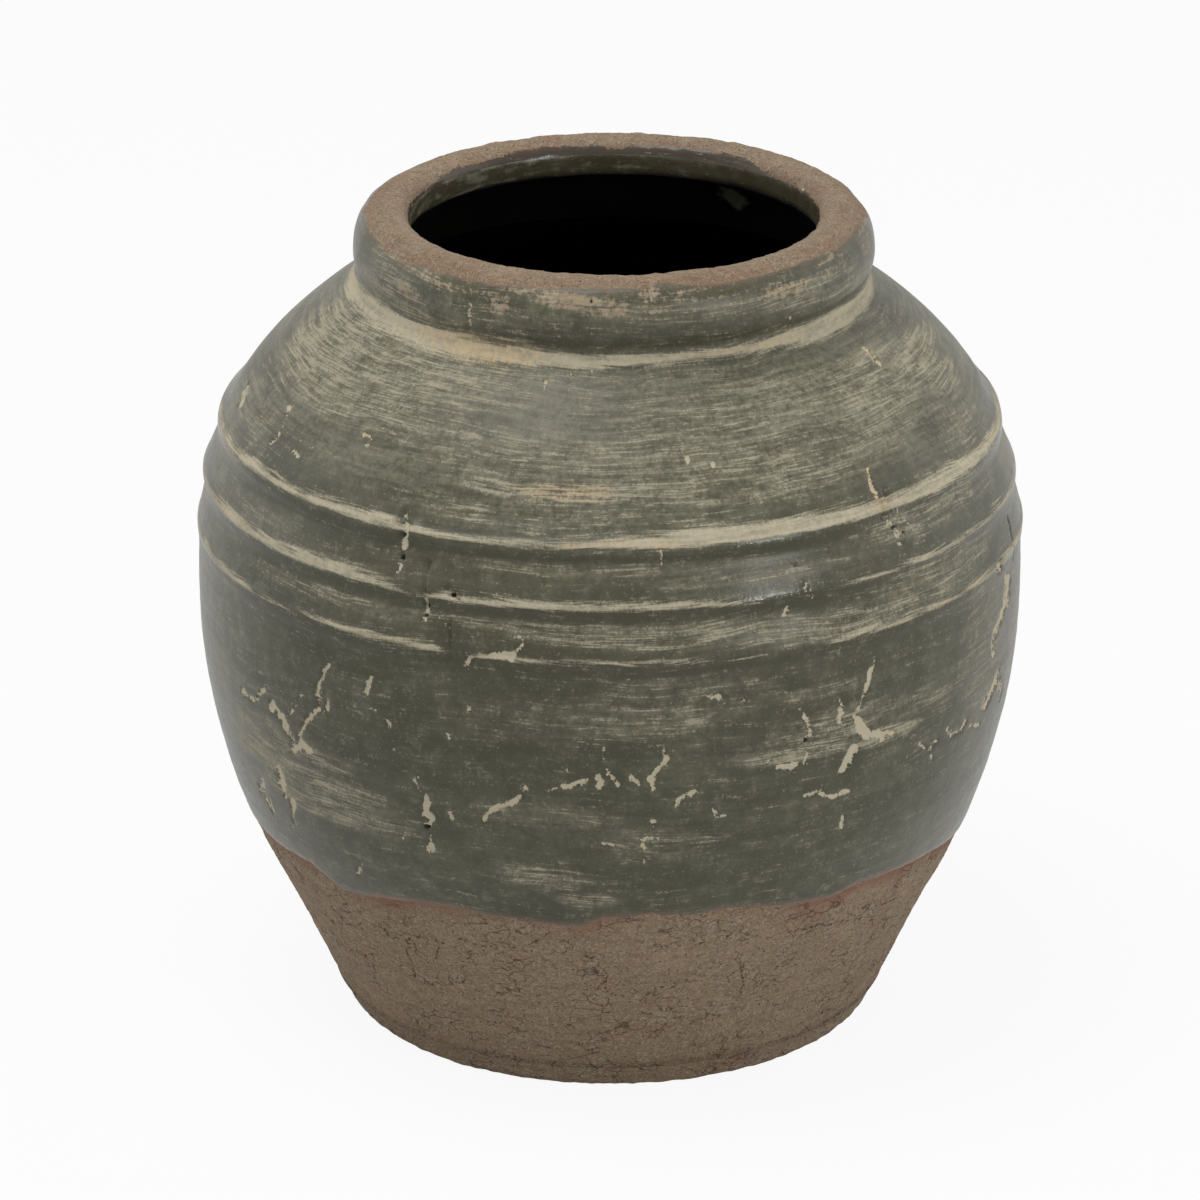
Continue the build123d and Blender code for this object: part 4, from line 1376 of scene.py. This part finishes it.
class JAR_OT_bands(BuildOperator, bpy.types.Operator):
    """Build the three raised bands, each with the joints between its coils"""

    bl_idname = "jar.bands"
    bl_label = "Bands"

    def build(self, context):
        for band, joints in COIL_JOINTS.items():
            coils = [f"{band}_band_coil_{count + 1}" for count in range(len(joints))]
            ring_piece(f"{band}_band", f"{band}_band", surface().shape.wall, "grey_green_glaze", worn_glaze(),
                       *coils, f"{band}_slip_line", "band_wall", "band_glaze")


class JAR_OT_shoulder(BuildOperator, bpy.types.Operator):
    """Build the shoulder between the bands and the neck"""

    bl_idname = "jar.shoulder"
    bl_label = "Shoulder"

    def build(self, context):
        ring_piece("shoulder", "shoulder", surface().shape.wall, "grey_green_glaze", worn_glaze(),
                   "shoulder_wall", "shoulder_glaze")


class JAR_OT_neck(BuildOperator, bpy.types.Operator):
    """Build the slip that fills the groove under the rim"""

    bl_idname = "jar.neck"
    bl_label = "Neck slip"

    def build(self, context):
        ring_piece("neck_fillet", "neck", surface().shape.skin, "pale_slip", worn_glaze(), "neck_slip")


class JAR_OT_rim(BuildOperator, bpy.types.Operator):
    """Build the rolled rim, bare on top and glazed outside"""

    bl_idname = "jar.rim"
    bl_label = "Rim"

    def build(self, context):
        ring_piece("rim", "rim", surface().shape.skin, "grey_green_glaze", worn_glaze(),
                   "rim_roll", "rim_glaze", "neck_collar")


class JAR_OT_inside(BuildOperator, bpy.types.Operator):
    """Build the throat, and paint the piece below it and the inside of the jar black as painted shade"""

    bl_idname = "jar.inside"
    bl_label = "Throat and inside"

    def build(self, context):
        skin = surface().shape.skin
        ring_piece("throat", "throat", skin, "dark_inner_glaze", dark_glaze(), "throat_glaze")
        # Black paints the shade below the land and all through the inside of the jar
        ring_piece("throat_foot", "below", skin, "dark_inner_glaze", deep_glaze(), "throat_glaze")
        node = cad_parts["inside_glaze"]
        node.data.materials.clear()
        node.data.materials.append(deep_glaze())


class JAR_OT_grit(BuildOperator, bpy.types.Operator):
    """Scatter grit over the bare clay of the foot and of the rim"""

    bl_idname = "jar.grit"
    bl_label = "Grit"

    def build(self, context):
        seed = context.scene.jar_shape.seed
        grains_per_square_metre = 26000
        for name, zone, first_row in (("foot_grit", "foot", 6), ("rim_grit", "rim", 0)):
            piece = scatter_grit(name, zone, first_row, grains_per_square_metre, seed)
            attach(piece, "root")


def soft_box(name, place, size, power):
    """A square lamp that faces the jar."""
    lamp = bpy.data.lights.new(name, "AREA")
    lamp.size = size
    lamp.energy = power
    holder = bpy.data.objects.new(name, lamp)
    holder.location = place
    holder.rotation_euler = (Vector(LAMP_AIM) - Vector(place)).to_track_quat("-Z", "Y").to_euler()
    bpy.context.scene.collection.objects.link(holder)


def white_for_camera(tree, lit, surface_socket, share):
    """Show a surface as plain white, by a share, to camera, glossy and transmission rays."""
    nodes = Nodes(tree)
    path = nodes.add("ShaderNodeLightPath")
    seen = nodes.math("MAXIMUM", path.outputs["Is Camera Ray"], path.outputs["Is Transmission Ray"])
    seen = nodes.math("MAXIMUM", seen, path.outputs["Is Glossy Ray"])
    white = nodes.add("ShaderNodeEmission", (1, 1, 1, 1), 1.0)
    mixed = nodes.add("ShaderNodeMixShader", nodes.math("MULTIPLY", seen, share), lit, white.outputs[0])
    tree.links.new(mixed.outputs[0], surface_socket)


class JAR_OT_stage(BuildOperator, bpy.types.Operator):
    """Build the floor, the studio light and the camera"""

    bl_idname = "jar.stage"
    bl_label = "Stage"

    def build(self, context):
        scene = context.scene
        light = scene.jar_light
        corners = [(FLOOR_HALF * x, FLOOR_HALF * y, 0) for x, y in ((-1, -1), (1, -1), (1, 1), (-1, 1))]
        mesh = bpy.data.meshes.new("floor")
        mesh.from_pydata(corners, [], [(0, 1, 2, 3)])
        floor = bpy.data.objects.new("floor", mesh)
        scene.collection.objects.link(floor)
        floor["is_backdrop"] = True
        material, nodes, shader = new_material("pale_floor")
        shader.inputs["Base Color"].default_value = (FLOOR_GREY, FLOOR_GREY, FLOOR_GREY, 1)
        shader.inputs["Roughness"].default_value = FLOOR_ROUGHNESS
        output = next(node for node in material.node_tree.nodes if node.type == "OUTPUT_MATERIAL")
        white_for_camera(material.node_tree, shader.outputs[0], output.inputs["Surface"], FLOOR_WHITENESS)
        mesh.materials.append(material)

        for name, place, size, setting in LAMPS:
            soft_box(name, place, size, getattr(light, setting))

        world = bpy.data.worlds.new("studio")
        world.use_nodes = True
        scene.world = world
        tree = world.node_tree
        back = next(node for node in tree.nodes if node.type == "BACKGROUND")
        back.inputs["Color"].default_value = (1, 1, 1, 1)
        back.inputs["Strength"].default_value = light.room
        output = next(node for node in tree.nodes if node.type == "OUTPUT_WORLD")
        white_for_camera(tree, back.outputs[0], output.inputs["Surface"], 1.0)

        camera = bpy.data.cameras.new("camera")
        camera.lens = CAMERA_LENS
        camera.sensor_width = CAMERA_SENSOR
        camera.dof.use_dof = False
        holder = bpy.data.objects.new("camera", camera)
        holder.location = CAMERA_PLACE
        holder.rotation_euler = (radians(90 - CAMERA_PITCH), 0, radians(CAMERA_YAW))
        scene.collection.objects.link(holder)
        scene.camera = holder
        scene.view_settings.view_transform = "Standard"


OPERATORS = (JAR_OT_foot, JAR_OT_belly, JAR_OT_bands, JAR_OT_shoulder, JAR_OT_neck, JAR_OT_rim, JAR_OT_inside,
             JAR_OT_grit, JAR_OT_stage)


class JAR_PT_panel(bpy.types.Panel):
    """Lists what builds the jar."""

    bl_label = "Jar"
    bl_idname = "JAR_PT_panel"
    bl_space_type = "VIEW_3D"
    bl_region_type = "UI"
    bl_category = "Jar"

    def draw(self, context):
        """List the operators and the settings."""
        for operator in OPERATORS:
            self.layout.operator(operator.bl_idname)
        for settings in (context.scene.jar_shape, context.scene.jar_colours, context.scene.jar_light):
            for name in settings.__annotations__:
                self.layout.prop(settings, name)


SETTINGS = {"jar_shape": JarShape, "jar_colours": JarColours, "jar_light": JarLight}


def register():
    """Add the settings, the operators and the panel."""
    for name, kind in SETTINGS.items():
        bpy.utils.register_class(kind)
        setattr(bpy.types.Scene, name, bpy.props.PointerProperty(type=kind))
    for kind in (*OPERATORS, JAR_PT_panel):
        bpy.utils.register_class(kind)


def unregister():
    """Take the settings, the operators and the panel away."""
    for kind in (JAR_PT_panel, *reversed(OPERATORS)):
        bpy.utils.unregister_class(kind)
    for name, kind in SETTINGS.items():
        delattr(bpy.types.Scene, name)
        bpy.utils.unregister_class(kind)


def main():
    """Build everything."""
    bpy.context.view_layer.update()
    register()
    for operator in OPERATORS:
        group, name = operator.bl_idname.split(".")
        getattr(getattr(bpy.ops, group), name)()


if __name__ == "__main__":
    main()
